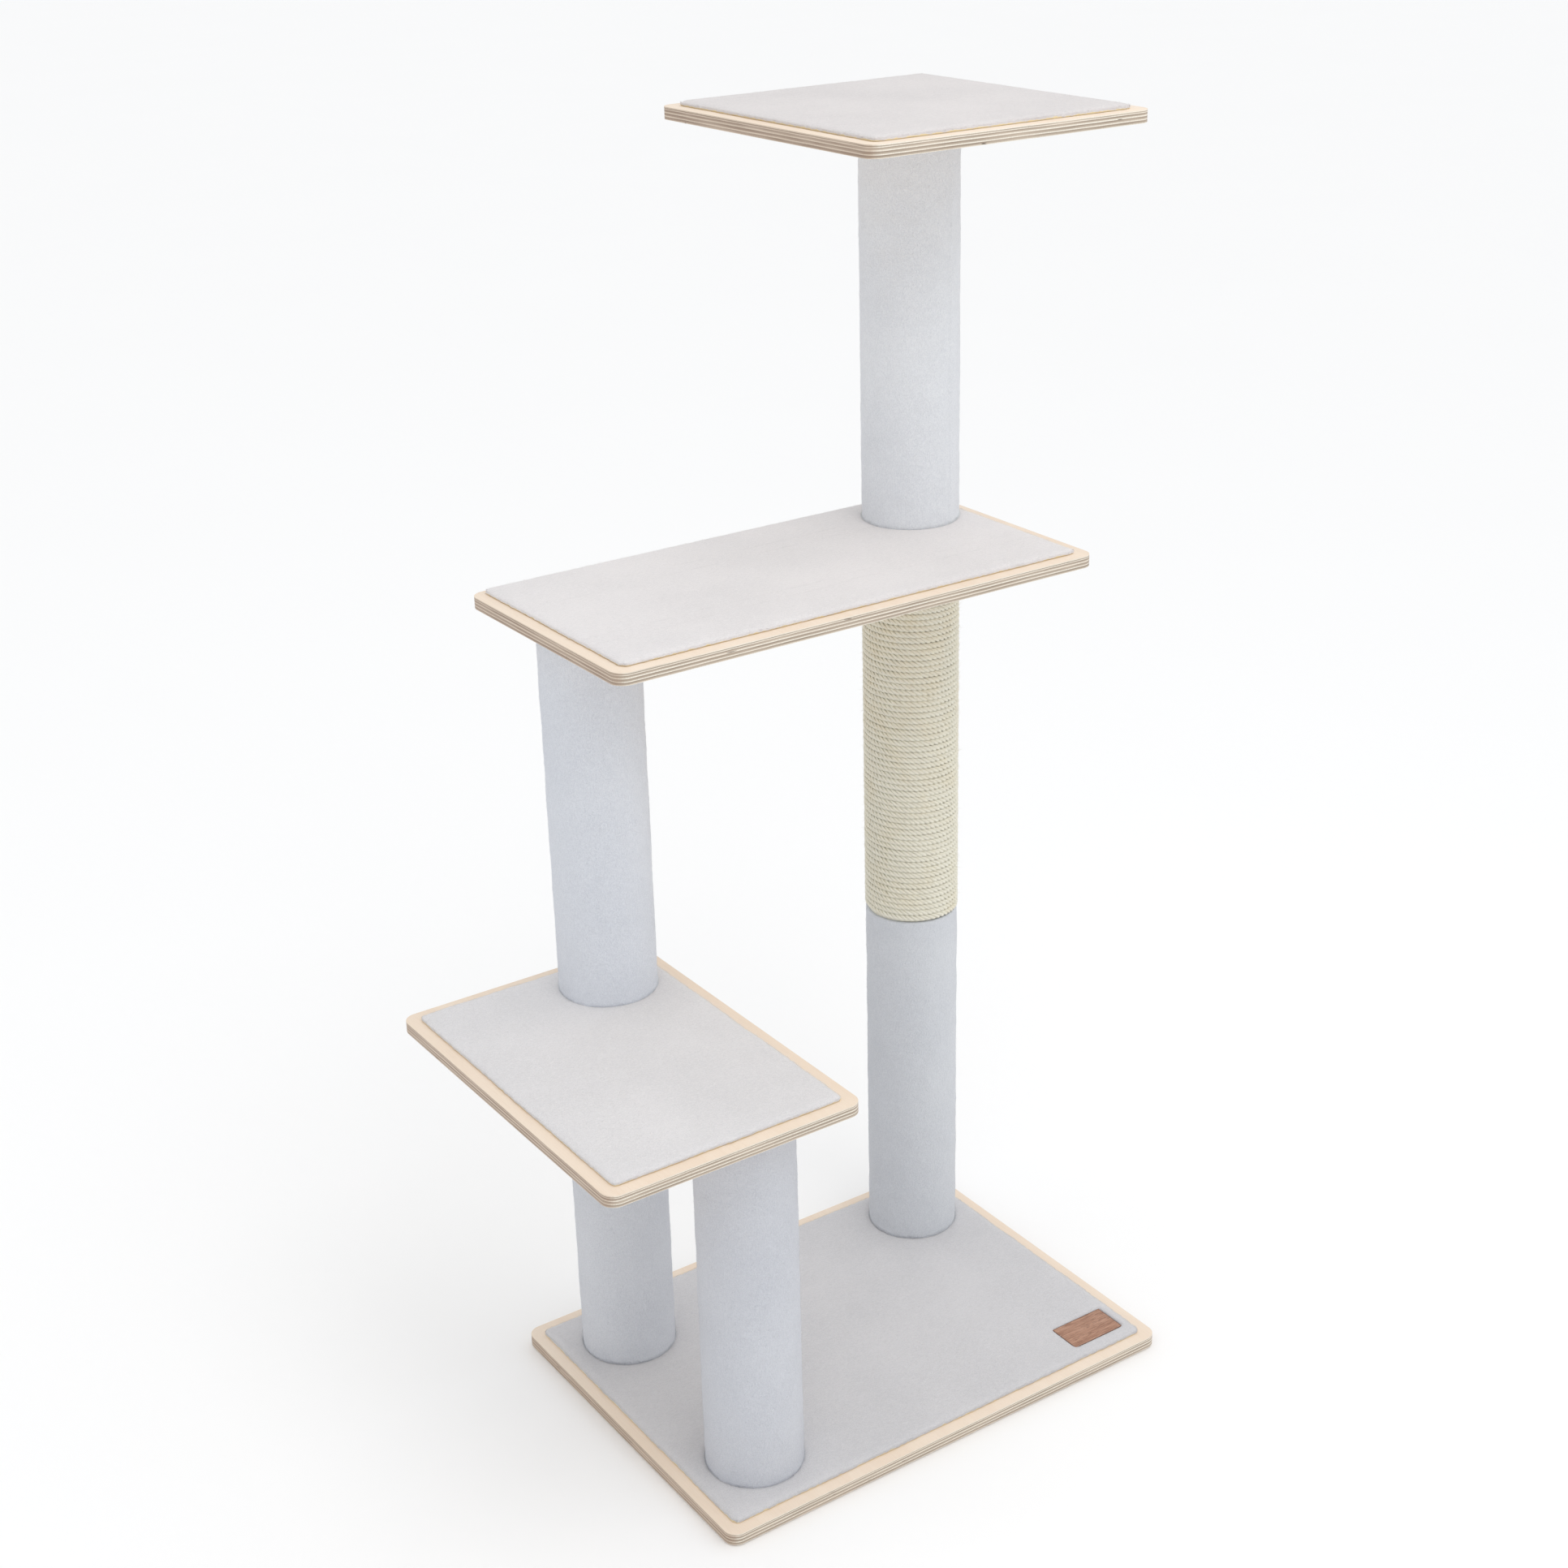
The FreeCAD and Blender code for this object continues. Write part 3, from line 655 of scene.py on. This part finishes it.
class CATTREE_OT_plush_posts(Operator):
    """Dress five posts in plush sleeves"""

    bl_idname = "cattree.plush_posts"
    bl_label = "Plush posts"

    def execute(self, context):
        settings = context.scene.cat_tree.plush
        for post in PLUSH_POSTS:
            bright, deep = with_painted_light_and_shade(post, settings.fabric, settings.shade)
            fabric = pile_fabric(post + "_plush_fabric", bright, deep, 800.0,
                                 (620.0, 620.0, 290.0), 0.0021).material
            tufts = tuft_finish(post + "_tufts", bright)
            low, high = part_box(post + "_plush")
            stand = settings.pile * math.cos(settings.lean)
            surface = (high.x - low.x) / 2 - 0.72 * stand
            sleeve = add_piece(post + "_sleeve", sleeve_mesh(post, settings, surface),
                               fabric, [post + "_plush"])
            pile = add_piece(post + "_pile", sleeve_tufts(post, settings, surface), tufts)
        return {"FINISHED"}


# ---------------------------------------------------------------- carpets

def remeshed(node, size):
    """Points and faces of a node's solid, made anew of even square faces."""
    piece = bpy.data.objects.new("remesh_source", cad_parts[node].data.copy())
    bpy.context.scene.collection.objects.link(piece)
    weld = piece.modifiers.new("weld", "WELD")
    weld.merge_threshold = 1e-5
    even = piece.modifiers.new("even", "REMESH")
    even.mode = "VOXEL"
    even.voxel_size = size
    bpy.context.view_layer.update()
    made = bpy.data.meshes.new_from_object(
        piece.evaluated_get(bpy.context.evaluated_depsgraph_get()))
    points = np.empty(len(made.vertices) * 3, np.float32)
    made.vertices.foreach_get("co", points)
    faces = np.empty(len(made.loops), np.int32)
    made.loops.foreach_get("vertex_index", faces)
    source = piece.data
    bpy.data.objects.remove(piece)
    bpy.data.meshes.remove(source)
    bpy.data.meshes.remove(made)
    return points.reshape(-1, 3).astype(float), faces.reshape(-1, 4)


def holes_in(carpet):
    """The posts that come up through a carpet, as (x, y, radius)."""
    low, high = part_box(carpet)
    found = []
    for post in POSTS:
        x, y, foot, head = post_axis(post)[:4]
        if low.x < x < high.x and low.y < y < high.y and foot < low.z + 0.001 < head:
            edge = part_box(post + "_plush")
            found.append((x, y, (edge[1].x - edge[0].x) / 2 + 0.0005))
    return found


def rim_distance(points, carpet):
    """How far points in plan lie inside a carpet's outer edge, and the way out to it."""
    low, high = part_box(carpet)
    half = np.array([(high.x - low.x) / 2, (high.y - low.y) / 2]) - CARPET_CORNER
    centre = np.array([(high.x + low.x) / 2, (high.y + low.y) / 2])
    local = points[:, :2] - centre
    beyond = np.abs(local) - half
    outside = np.maximum(beyond, 0)
    reach = np.linalg.norm(outside, axis=1)
    inner = np.minimum(beyond.max(axis=1), 0)
    nearest = (beyond == beyond.max(axis=1, keepdims=True)).astype(float)
    way = np.where(reach[:, None] > 1e-9, outside, nearest) * np.sign(local)
    way /= np.maximum(np.linalg.norm(way, axis=1, keepdims=True), 1e-9)
    return CARPET_CORNER - reach - inner, way


def crease_depth(plan, carpet):
    """How deep a carpet's old fold lines are at points in plan."""
    low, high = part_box(carpet)
    depth = np.zeros(len(plan))
    for n, share in enumerate(FOLDS.get(carpet, ())):
        line = low.y + share * (high.y - low.y) + 0.0022 * ripple(plan[:, :1], 0.16, 130 + n)
        depth += 0.00028 * np.exp(-((plan[:, 1] - line) / 0.0034) ** 2)
    return depth


def edge_shift(plan, inside, way, carpet, settings):
    """How a carpet's hand-cut edge wanders in and out, for points in plan."""
    seed = CARPETS.index(carpet)
    wander = 0.4 * ripple(plan, 0.07, 70 + seed) + 0.45 * ripple(plan, 0.010, 80 + seed)
    near = np.exp(-(np.maximum(inside, 0) / 0.004) ** 2)
    return (settings.ragged * wander * near)[:, None] * way


def plate_window(gap):
    """The opening in the base carpet for the plate, as lowest and highest x, y."""
    low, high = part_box("wooden_plate")
    return np.array([low.x - gap, low.y - gap]), np.array([high.x + gap, high.y + gap])


def clear_window(points):
    """Move points that stand in the plate's opening out to its nearest side."""
    low, high = plate_window(0.0004)
    plan = points[:, :2]
    gaps = np.column_stack([plan - low, high - plan])
    within = np.flatnonzero((gaps > 0).all(axis=1))
    side = gaps[within].argmin(axis=1)
    points[within, side % 2] = np.concatenate([low, high])[side]


def carpet_mesh(carpet, settings):
    """A closed carpet: soft swells on top and a hand-cut edge that wanders."""
    points, faces = remeshed(carpet, settings.grid)
    low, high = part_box(carpet)
    seed = CARPETS.index(carpet)
    thickness = high.z - low.z
    inside, way = rim_distance(points, carpet)
    height = np.clip((points[:, 2] - low.z) / thickness, 0, 1)
    plan = points[:, :2].copy()
    points[:, :2] += edge_shift(plan, inside, way, carpet, settings) * (0.4 + 0.6 * height[:, None])
    swell = 0.00014 * ripple(plan, 0.06, 90 + seed) + 0.00007 * ripple(plan, 0.012, 95 + seed)
    roll_off = ROLL_OFF * np.exp(-(np.maximum(inside, 0) / ROLL_WIDTH) ** 2)
    points[:, 2] += height * (swell - crease_depth(plan, carpet) - roll_off - 0.0003)
    points[:, 2] = np.maximum(points[:, 2], low.z)
    for x, y, radius in holes_in(carpet):
        reach = np.hypot(plan[:, 0] - x, plan[:, 1] - y)
        pull = SNUG * np.exp(-((reach - radius) / 0.008) ** 2)
        points[:, :2] -= (pull / reach)[:, None] * (plan - (x, y))
    if carpet == "base_carpet":
        clear_window(points)
    return build_mesh(carpet + "_sheet", points, faces)


def side_points(size, per_metre, draw):
    """Random points on a rectangle's sides as shares of it, which lie along X, and which far."""
    count = int(2 * size.sum() * per_metre)
    share, far = draw.uniform(0, 1, (count, 2)), draw.integers(0, 2, count)
    along_x = draw.uniform(0, size.sum(), count) < size[0]
    share[along_x, 1] = far[along_x]
    share[~along_x, 0] = far[~along_x]
    return share, along_x, far


def rim_roots(carpet, settings, draw):
    """Random points just inside every cut edge of a carpet, and the way out at each."""
    low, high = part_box(carpet)
    size = np.array([high.x - low.x, high.y - low.y])
    plan = np.array([low.x, low.y]) + side_points(size, settings.fringe, draw)[0] * size
    inside, way = rim_distance(plan, carpet)
    plan += way * (inside[:, None] - RIM)
    plan += edge_shift(plan, np.full(len(plan), RIM), way, carpet, settings)
    plans, ways = [plan], [way]
    for x, y, radius in holes_in(carpet):
        turn = draw.uniform(0, TURN, int(TURN * radius * settings.fringe))
        inward = -np.column_stack([np.cos(turn), np.sin(turn)])
        plans.append(np.array([x, y]) - inward * (radius + RIM - SNUG))
        ways.append(inward)
    if carpet == "base_carpet":
        corner, far_corner = plate_window(RIM)
        span = far_corner - corner
        share, along_x, far = side_points(span, settings.fringe, draw)
        inward = np.zeros(share.shape)
        inward[along_x, 1] = 1 - 2 * far[along_x]
        inward[~along_x, 0] = 1 - 2 * far[~along_x]
        plans.append(corner + share * span)
        ways.append(inward)
    return np.concatenate(plans), np.concatenate(ways)


def carpet_tufts(carpet, settings):
    """Brushed pile over a carpet, and fringe along its cut edges."""
    low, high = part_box(carpet)
    seed = CARPETS.index(carpet)
    draw = np.random.default_rng(100 + seed)
    count = int(settings.density * (high.x - low.x) * (high.y - low.y) / CM2)
    plan = np.column_stack([draw.uniform(low.x, high.x, count), draw.uniform(low.y, high.y, count)])
    inside, way = rim_distance(plan, carpet)
    keep = inside > RIM
    for x, y, radius in holes_in(carpet):
        keep &= np.hypot(plan[:, 0] - x, plan[:, 1] - y) > radius - SNUG + RIM
    if carpet == "base_carpet":
        corner, far = plate_window(RIM)
        keep &= ~((plan > corner) & (plan < far)).all(axis=1)
    plan, inside, way = plan[keep], inside[keep], way[keep]
    plan += edge_shift(plan, inside, way, carpet, settings)
    total = len(plan)
    swing = 2.2 * ripple(plan, 0.03, 110 + seed) + draw.normal(0, 0.9, total)
    lean = settings.lean + 0.1 * ripple(plan, 0.009, 120 + seed) + draw.normal(0, 0.16, total)
    lean = np.clip(lean, 0.1, 1.4)
    combed = np.column_stack([np.cos(swing), np.sin(swing), np.zeros(total)])
    flat_ways = np.cos(lean)[:, None] * [[0, 0, 1.0]] + np.sin(lean)[:, None] * combed
    top = high.z - 0.0006 - ROLL_OFF * np.exp(-(inside / ROLL_WIDTH) ** 2)
    rim, out = rim_roots(carpet, settings, draw)
    fringe = len(rim)
    level = draw.uniform(low.z + 0.0018, high.z - 0.0022, fringe)
    edge_ways = np.column_stack([out, draw.uniform(-0.1, 0.9, fringe)])
    edge_ways += draw.normal(0, 0.35, (fringe, 3))
    roots = np.concatenate([np.column_stack([plan, top]),
                            np.column_stack([rim, level])])
    lengths = settings.pile * np.concatenate([draw.uniform(0.7, 1.2, total),
                                              draw.uniform(0.4, 0.8, fringe)])
    return tuft_mesh(carpet + "_pile", roots, np.concatenate([flat_ways, edge_ways]), lengths,
                     settings.fibre)


class CATTREE_OT_carpets(Operator):
    """Lay the carpets on the base and the platforms"""

    bl_idname = "cattree.carpets"
    bl_label = "Carpets"

    def execute(self, context):
        settings = context.scene.cat_tree.carpet
        for carpet, board in zip(CARPETS, BOARDS):
            low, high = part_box(carpet)
            width, depth = high.x - low.x, high.y - low.y
            bright, deep = with_painted_light_and_shade(carpet, settings.pile_colour, settings.shade)
            folds = [low.y + share * depth for share in FOLDS.get(carpet, ())]
            material = carpet_finish(carpet + "_finish", low.z, bright, deep, folds, settings)
            tufts = tuft_finish(carpet + "_tufts", bright)
            piece = add_piece(carpet + "_sheet", carpet_mesh(carpet, settings),
                              material, [carpet])
            pile = add_piece(carpet + "_pile", carpet_tufts(carpet, settings), tufts)
            area = width * depth - sum(math.pi * hole[2] ** 2 for hole in holes_in(carpet))
            if carpet == "base_carpet":
                corner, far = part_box("wooden_plate")
                area -= (far.x - corner.x) * (far.y - corner.y)
        return {"FINISHED"}


# ---------------------------------------------------------------- sisal rope

def rope_line(settings, step):
    """Angle, level and fullness of the rope down the winding, and its two sizes.

    The rope thins out over its first and last turns, so that it fills the wedge a coil leaves.
    """
    low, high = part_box("scratching_post_rope")
    bore = post_axis("scratching_post")[4]
    thick = (high.x - low.x) / 2 - bore
    middle = bore + thick / 2
    rows = settings.turns
    pitch = (high.z - low.z) / rows
    turn = np.arange(0, (rows + 1) * TURN, step / middle)
    laid = turn / TURN
    full = np.clip(np.minimum(laid, rows + 1 - laid), 0.1, 1)
    level = np.minimum(high.z - pitch * (laid - 0.5), high.z - pitch * full / 2)
    level = np.maximum(level, low.z + pitch * full / 2)
    return turn, level, full, middle, thick


def strand_mesh(name, strand, settings):
    """One of the rope's three strands, laid round the others and wound on the tube."""
    x, y = post_axis("scratching_post")[:2]
    step = settings.lay / STEPS_PER_LAY
    turn, level, full, middle, thick = rope_line(settings, step)
    reach = middle - thick / 2 * (1 - full)
    count, sides = len(turn), 5
    along = np.arange(count) * step
    draw = np.random.default_rng(7 + strand)
    outward = np.stack([np.cos(turn), np.sin(turn), np.zeros(count)], axis=1)
    upward = np.array([[0.0, 0.0, 1.0]])
    sway = np.stack([turn * middle, level * 3], axis=1)
    bulge = 0.00020 * ripple(sway, 0.09, 8) - 0.00015
    drift = 0.00024 * ripple(sway, 0.14, 9)
    phase = TURN * (along / settings.lay + strand / 3) + 0.8 * ripple(sway, 0.12, 11)
    offset = STRAND_OFFSET * thick / 2 * full
    centre = (np.stack([x + reach * np.cos(turn), y + reach * np.sin(turn), level], axis=1)
              + (offset * np.cos(phase) + bulge)[:, None] * outward
              + (drift - FLATTENED * offset * np.sin(phase))[:, None] * upward)
    ahead = np.gradient(centre, axis=0)
    ahead /= np.linalg.norm(ahead, axis=1, keepdims=True)
    across = outward - (outward * ahead).sum(1, keepdims=True) * ahead
    across /= np.linalg.norm(across, axis=1, keepdims=True)
    other = np.cross(ahead, across)
    uneven = 1 + 0.07 * ripple(sway + strand, 0.011, 12 + strand)
    radius = STRAND_SIZE * thick / 2 * full * uneven * draw.uniform(0.97, 1.03, count)
    ring = [
        centre + radius[:, None] * (math.cos(a) * across + FLATTENED * math.sin(a) * other)
        for a in np.arange(sides) * TURN / sides
    ]
    points = np.stack(ring, axis=1).reshape(-1, 3)
    start, side = np.broadcast_arrays(along[:-1, None], np.arange(sides)[None, :])
    spin = strand * 0.4 + side / sides
    corner_u = np.stack([start, start, start + step, start + step], 2)
    corner_v = np.stack([spin, spin + 1 / sides, spin + 1 / sides, spin], 2)
    maps = np.stack([corner_v, corner_u], 3).reshape(-1, 2)
    last = (count - 1) * sides
    caps = [list(range(sides - 1, -1, -1)), list(range(last, last + sides))]
    return joined_mesh(name, points, ring_faces(count, sides), caps, maps)


def stray_fibres(settings):
    """Loose fibres that stand off the rope."""
    x, y = post_axis("scratching_post")[:2]
    turn, level, _, middle, thick = rope_line(settings, 0.002)
    draw = np.random.default_rng(17)
    pick = draw.integers(200, len(turn) - 200, settings.loose)
    turn, level = turn[pick], level[pick]
    outward = np.stack([np.cos(turn), np.sin(turn), 0 * turn], axis=1)
    around = np.stack([-np.sin(turn), np.cos(turn), 0 * turn], axis=1)
    face = draw.uniform(-1.0, 1.0, settings.loose)
    radius = middle + thick / 2 * np.cos(face) * 0.93
    roots = np.stack([x + radius * np.cos(turn), y + radius * np.sin(turn),
                      level + thick / 2 * np.sin(face)], axis=1)
    ways = (draw.uniform(0.12, 0.9, (settings.loose, 1)) * outward
            + draw.choice([-1.0, 1.0], (settings.loose, 1)) * around
            + draw.normal(0, 0.3, (settings.loose, 3)))
    lengths = draw.uniform(0.0025, 0.0085, settings.loose)
    return tuft_mesh("sisal_strays", roots, ways, lengths, 0.00022)


class CATTREE_OT_rope_post(Operator):
    """Wind the sisal rope on its post"""

    bl_idname = "cattree.rope_post"
    bl_label = "Rope post"

    def execute(self, context):
        settings = context.scene.cat_tree.rope
        sisal = sisal_finish(settings)
        for strand, letter in enumerate("abc"):
            name = "sisal_strand_" + letter
            add_piece(name, strand_mesh(name, strand, settings), sisal,
                      ["scratching_post_rope"])
        strays = Finish("sisal_fibres", Roughness=0.7, Specular_IOR_Level=0.3)
        shade = strays.noise(300.0, 2)
        strays.into("Base Color", strays.mix(shade, settings.fibre_dark, settings.fibre_colour))
        add_piece("sisal_strays", stray_fibres(settings), strays.material)
        return {"FINISHED"}


# ---------------------------------------------------------------- boards and small pieces

class CATTREE_OT_boards(Operator):
    """Finish the plywood boards"""

    bl_idname = "cattree.boards"
    bl_label = "Plywood boards"

    def execute(self, context):
        wood = context.scene.cat_tree.wood
        for board in BOARDS:
            piece = dress(board, birch_ply(board, wood))
            ease_edges(piece, wood.arris)
        return {"FINISHED"}


class CATTREE_OT_plate(Operator):
    """Finish the small wooden plate"""

    bl_idname = "cattree.plate"
    bl_label = "Wooden plate"

    def execute(self, context):
        wood = context.scene.cat_tree.wood
        ease_edges(dress("wooden_plate", plate_finish(wood)), 0.0005)
        return {"FINISHED"}


class CATTREE_OT_felt(Operator):
    """Lay the felt under the base"""

    bl_idname = "cattree.felt"
    bl_label = "Base felt"

    def execute(self, context):
        low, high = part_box("base_felt")
        corner, spacing = FELT_CORNER, 0.003
        draw = np.random.default_rng(31)
        arc = np.linspace(0, math.pi / 2, 8)
        outline = []
        for quadrant, (x, y) in enumerate(((high.x, high.y), (low.x, high.y), (low.x, low.y),
                                           (high.x, low.y))):
            angle = arc + quadrant * math.pi / 2
            centre = np.array([x - math.copysign(corner, x), y - math.copysign(corner, y)])
            outline.append(centre + corner * np.column_stack([np.cos(angle), np.sin(angle)]))
        outline = np.concatenate(outline)
        gaps = np.linalg.norm(np.roll(outline, -1, 0) - outline, axis=1)
        fine = [a + (b - a) * t for a, b, gap in zip(outline, np.roll(outline, -1, 0), gaps)
                for t in np.arange(0, 1, spacing / gap if gap > spacing else 1)]
        edge = np.array(fine)
        edge -= np.sign(edge) * draw.uniform(0, 0.0004, edge.shape)
        count, roll = len(edge), 0.0005
        shrink = 1 - roll / np.abs(edge).max(axis=0)
        rings = [(shrink, low.z), (1.0, low.z + roll), (1.0, high.z - roll), (shrink, high.z)]
        points = np.concatenate([
            np.column_stack([edge * scale, np.full(count, level)]) for scale, level in rings
        ])
        caps = [list(range(count - 1, -1, -1)), list(range(3 * count, 4 * count))]
        mesh = joined_mesh("felt_sheet", points, ring_faces(4, count), caps)
        mesh.polygons.foreach_set("use_smooth", np.full(len(mesh.polygons), False))
        felt = add_piece("felt_sheet", mesh, felt_finish(), ["base_felt"])
        return {"FINISHED"}


class CATTREE_OT_inside(Operator):
    """Finish the tubes, plugs and steel inside the posts"""

    bl_idname = "cattree.inside"
    bl_label = "Inside pieces"

    def execute(self, context):
        board, plug, zinc = cardboard_finish(), fibreboard_finish(), zinc_finish()
        for post in POSTS:
            dress(post + "_tube", board)
            for end in ("_lower_plug", "_upper_plug"):
                dress(post + end, plug)
        for node in STEEL:
            dress(node, zinc)
        return {"FINISHED"}


# ---------------------------------------------------------------- studio

def add_lamp(name, kind, energy, way, axis="Z", place=(0, 0, 0), **settings):
    """A soft light whose given axis lies along a way."""
    light = bpy.data.lights.new(name, kind)
    light.energy = energy
    for key, value in settings.items():
        setattr(light, key, value)
    lamp = bpy.data.objects.new(name, light)
    lamp.location = place
    lamp.rotation_euler = Vector(way).to_track_quat(axis, "Y").to_euler()
    bpy.context.scene.collection.objects.link(lamp)


class CATTREE_OT_studio(Operator):
    """Set up the floor, the soft lights and the camera"""

    bl_idname = "cattree.studio"
    bl_label = "Studio"

    def execute(self, context):
        scene = context.scene
        settings = scene.cat_tree.studio
        scene.view_settings.view_transform = "Standard"
        floor_mesh = bpy.data.meshes.new("floor")
        reach = 30.0
        floor_mesh.from_pydata([(-reach, -reach, 0), (reach, -reach, 0), (reach, reach, 0),
                                (-reach, reach, 0)], [], [(0, 1, 2, 3)])
        floor = bpy.data.objects.new("floor", floor_mesh)
        scene.collection.objects.link(floor)
        finish = Finish("floor", Roughness=0.9, Specular_IOR_Level=0.1)
        pale = settings.floor
        cloud = finish.noise(1.5, 2)
        finish.into("Base Color", finish.mix(cloud, pale, tuple(0.99 * c for c in pale)))
        floor_mesh.materials.append(finish.material)

        world = bpy.data.worlds.new("studio")
        world.use_nodes = True
        background = world.node_tree.nodes["Background"]
        background.inputs["Color"].default_value = (0.985, 0.992, 1.0, 1.0)
        background.inputs["Strength"].default_value = settings.sky
        scene.world = world
        add_lamp("key", "SUN", settings.key, (0.42, -0.50, 1.6), angle=math.radians(95))
        lamp_place = Vector((0.0, -1.3, 2.9))
        add_lamp("front", "AREA", settings.front, Vector((0, 0, 0.9)) - lamp_place, "-Z",
                 lamp_place, shape="DISK", size=1.4)

        camera = bpy.data.objects.new("camera", bpy.data.cameras.new("camera"))
        camera.data.lens = settings.lens
        way = Vector(settings.aim) - Vector(settings.camera)
        turned = way.to_track_quat("-Z", "Y").to_matrix() @ Matrix.Rotation(settings.roll, 3, "Z")
        camera.matrix_world = Matrix.Translation(settings.camera) @ turned.to_4x4()
        scene.collection.objects.link(camera)
        scene.camera = camera
        return {"FINISHED"}


# ---------------------------------------------------------------- add-on

class CATTREE_PT_panel(Panel):
    """Lists the steps that build the cat tree's looks"""

    bl_idname = "CATTREE_PT_panel"
    bl_label = "Cat tree"
    bl_space_type = "VIEW_3D"
    bl_region_type = "UI"
    bl_category = "Cat tree"

    def draw(self, context):
        column = self.layout.column()
        for operator in OPERATORS:
            column.operator(operator.bl_idname)


OPERATORS = (CATTREE_OT_studio, CATTREE_OT_boards, CATTREE_OT_plate, CATTREE_OT_inside,
             CATTREE_OT_felt, CATTREE_OT_carpets, CATTREE_OT_plush_posts, CATTREE_OT_rope_post)
GROUPS = (CatTreeWood, CatTreePlush, CatTreeCarpet, CatTreeRope, CatTreeStudio, CatTreeSettings)


def register():
    for made in GROUPS + OPERATORS + (CATTREE_PT_panel,):
        bpy.utils.register_class(made)
    bpy.types.Scene.cat_tree = PointerProperty(type=CatTreeSettings)


def unregister():
    del bpy.types.Scene.cat_tree
    for made in reversed(GROUPS + OPERATORS + (CATTREE_PT_panel,)):
        bpy.utils.unregister_class(made)


def main():
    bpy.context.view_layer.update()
    register()
    for operator in OPERATORS:
        getattr(bpy.ops.cattree, operator.bl_idname.split(".")[1])()


if __name__ == "__main__":
    main()
